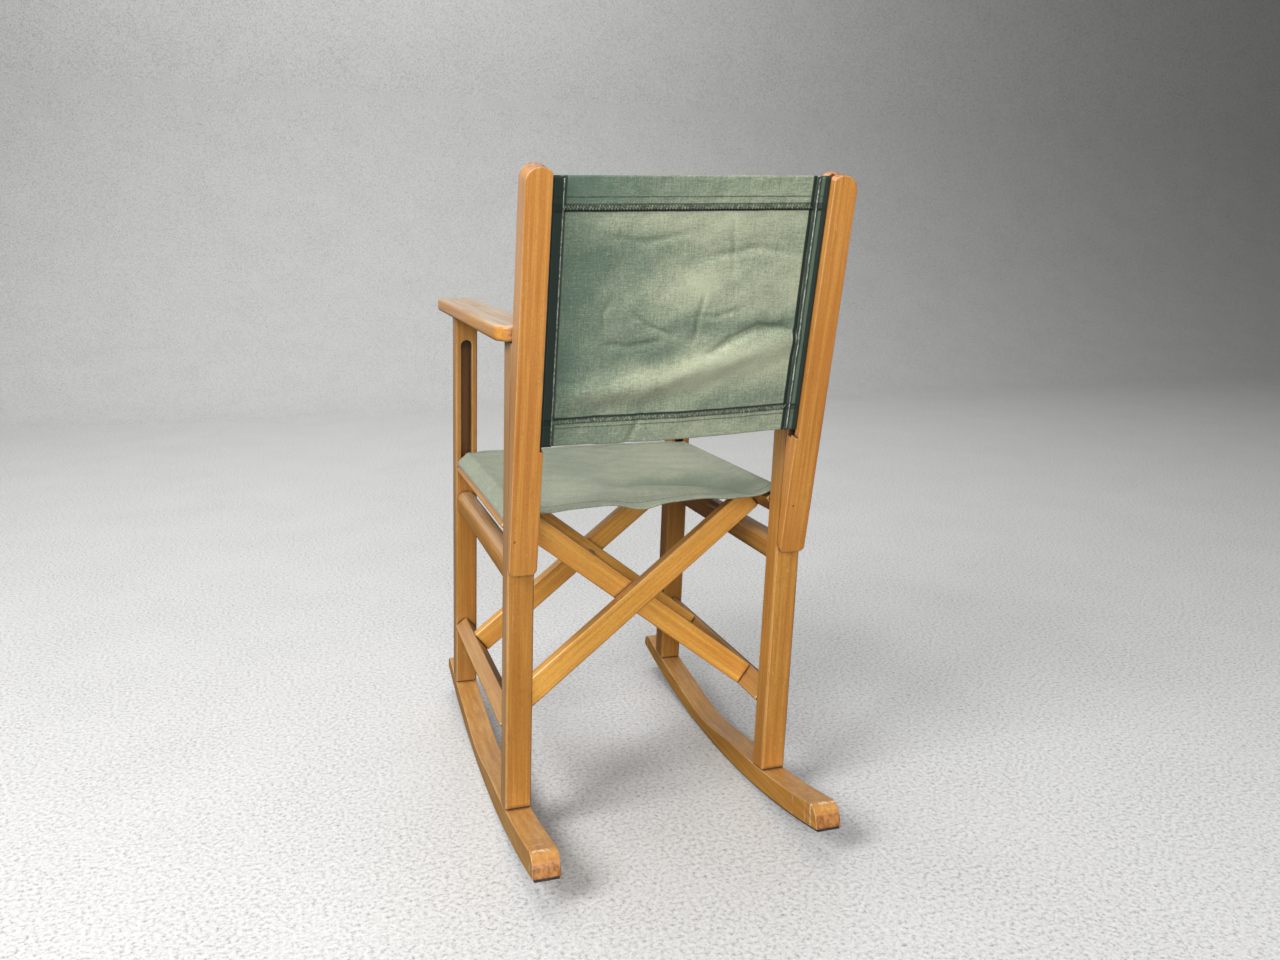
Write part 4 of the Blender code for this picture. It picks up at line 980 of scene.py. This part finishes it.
def soft_lamp(name, place, aim, size, watts, colour=(1.0, 1.0, 1.0)):
    """A square area lamp at a place, turned towards a point."""
    lamp = bpy.data.lights.new(name, "AREA")
    lamp.energy = watts
    lamp.color = colour
    lamp.size = size
    holder = bpy.data.objects.new(name, lamp)
    holder.location = place
    towards = np.array(aim) - np.array(place)
    tilt = math.atan2(math.hypot(towards[0], towards[1]), -towards[2])
    holder.rotation_euler = (tilt, 0.0, math.atan2(towards[0], -towards[1]) + math.pi)
    bpy.context.scene.collection.objects.link(holder)


# The main lamp stands high on the left, a low one behind the camera fills the back, and a weak one on the
# right opens the shadows. One hangs over the chair and one lights the paper behind.
soft_lamp("left_soft_lamp", (2.2, 1.2, 2.1), (0.0, 0.0, 0.35), 1.3, 82.0, (1.0, 0.99, 0.97))
soft_lamp("right_soft_lamp", (-2.0, 1.8, 2.3), (0.0, 0.0, 0.4), 1.8, 3.0, (0.97, 0.985, 1.0))
soft_lamp("camera_soft_lamp", (0.5, 2.6, 1.05), (0.0, 0.0, 0.35), 1.2, 54.0, (1.0, 0.995, 0.985))
soft_lamp("overhead_soft_lamp", (0.4, -0.3, 3.2), (0.0, 0.0, 0.0), 2.2, 27.0)
soft_lamp("backdrop_lamp", (0.0, -2.2, 3.6), (0.0, -4.2, 0.6), 3.0, 78.0)

studio = bpy.data.worlds.new("studio")
studio.use_nodes = True
sky = studio.node_tree.nodes["Background"].inputs
sky["Color"].default_value = (1.0, 1.0, 1.0, 1.0)
sky["Strength"].default_value = 0.11
bpy.context.scene.world = studio

# The camera is the one fitted to the photo: its focal length and its middle are in pixels.
PHOTO_WIDTH, PHOTO_HEIGHT = 1280, 960
FOCAL_LENGTH = 1051.0
MIDDLE_X, MIDDLE_Y = 624.2, 388.4

camera = bpy.data.cameras.new("camera")
camera.sensor_width = 36.0
camera.lens = camera.sensor_width * FOCAL_LENGTH / PHOTO_WIDTH
camera.shift_x = (PHOTO_WIDTH / 2 - MIDDLE_X) / PHOTO_WIDTH
camera.shift_y = (MIDDLE_Y - PHOTO_HEIGHT / 2) / PHOTO_WIDTH
camera_holder = bpy.data.objects.new("camera", camera)
camera_holder.location = (0.36385, 1.19211, 0.62485)
camera_holder.rotation_euler = (math.radians(82.84), math.radians(-0.17), math.radians(162.45))
bpy.context.scene.collection.objects.link(camera_holder)
bpy.context.scene.camera = camera_holder
bpy.context.scene.view_settings.view_transform = "Standard"
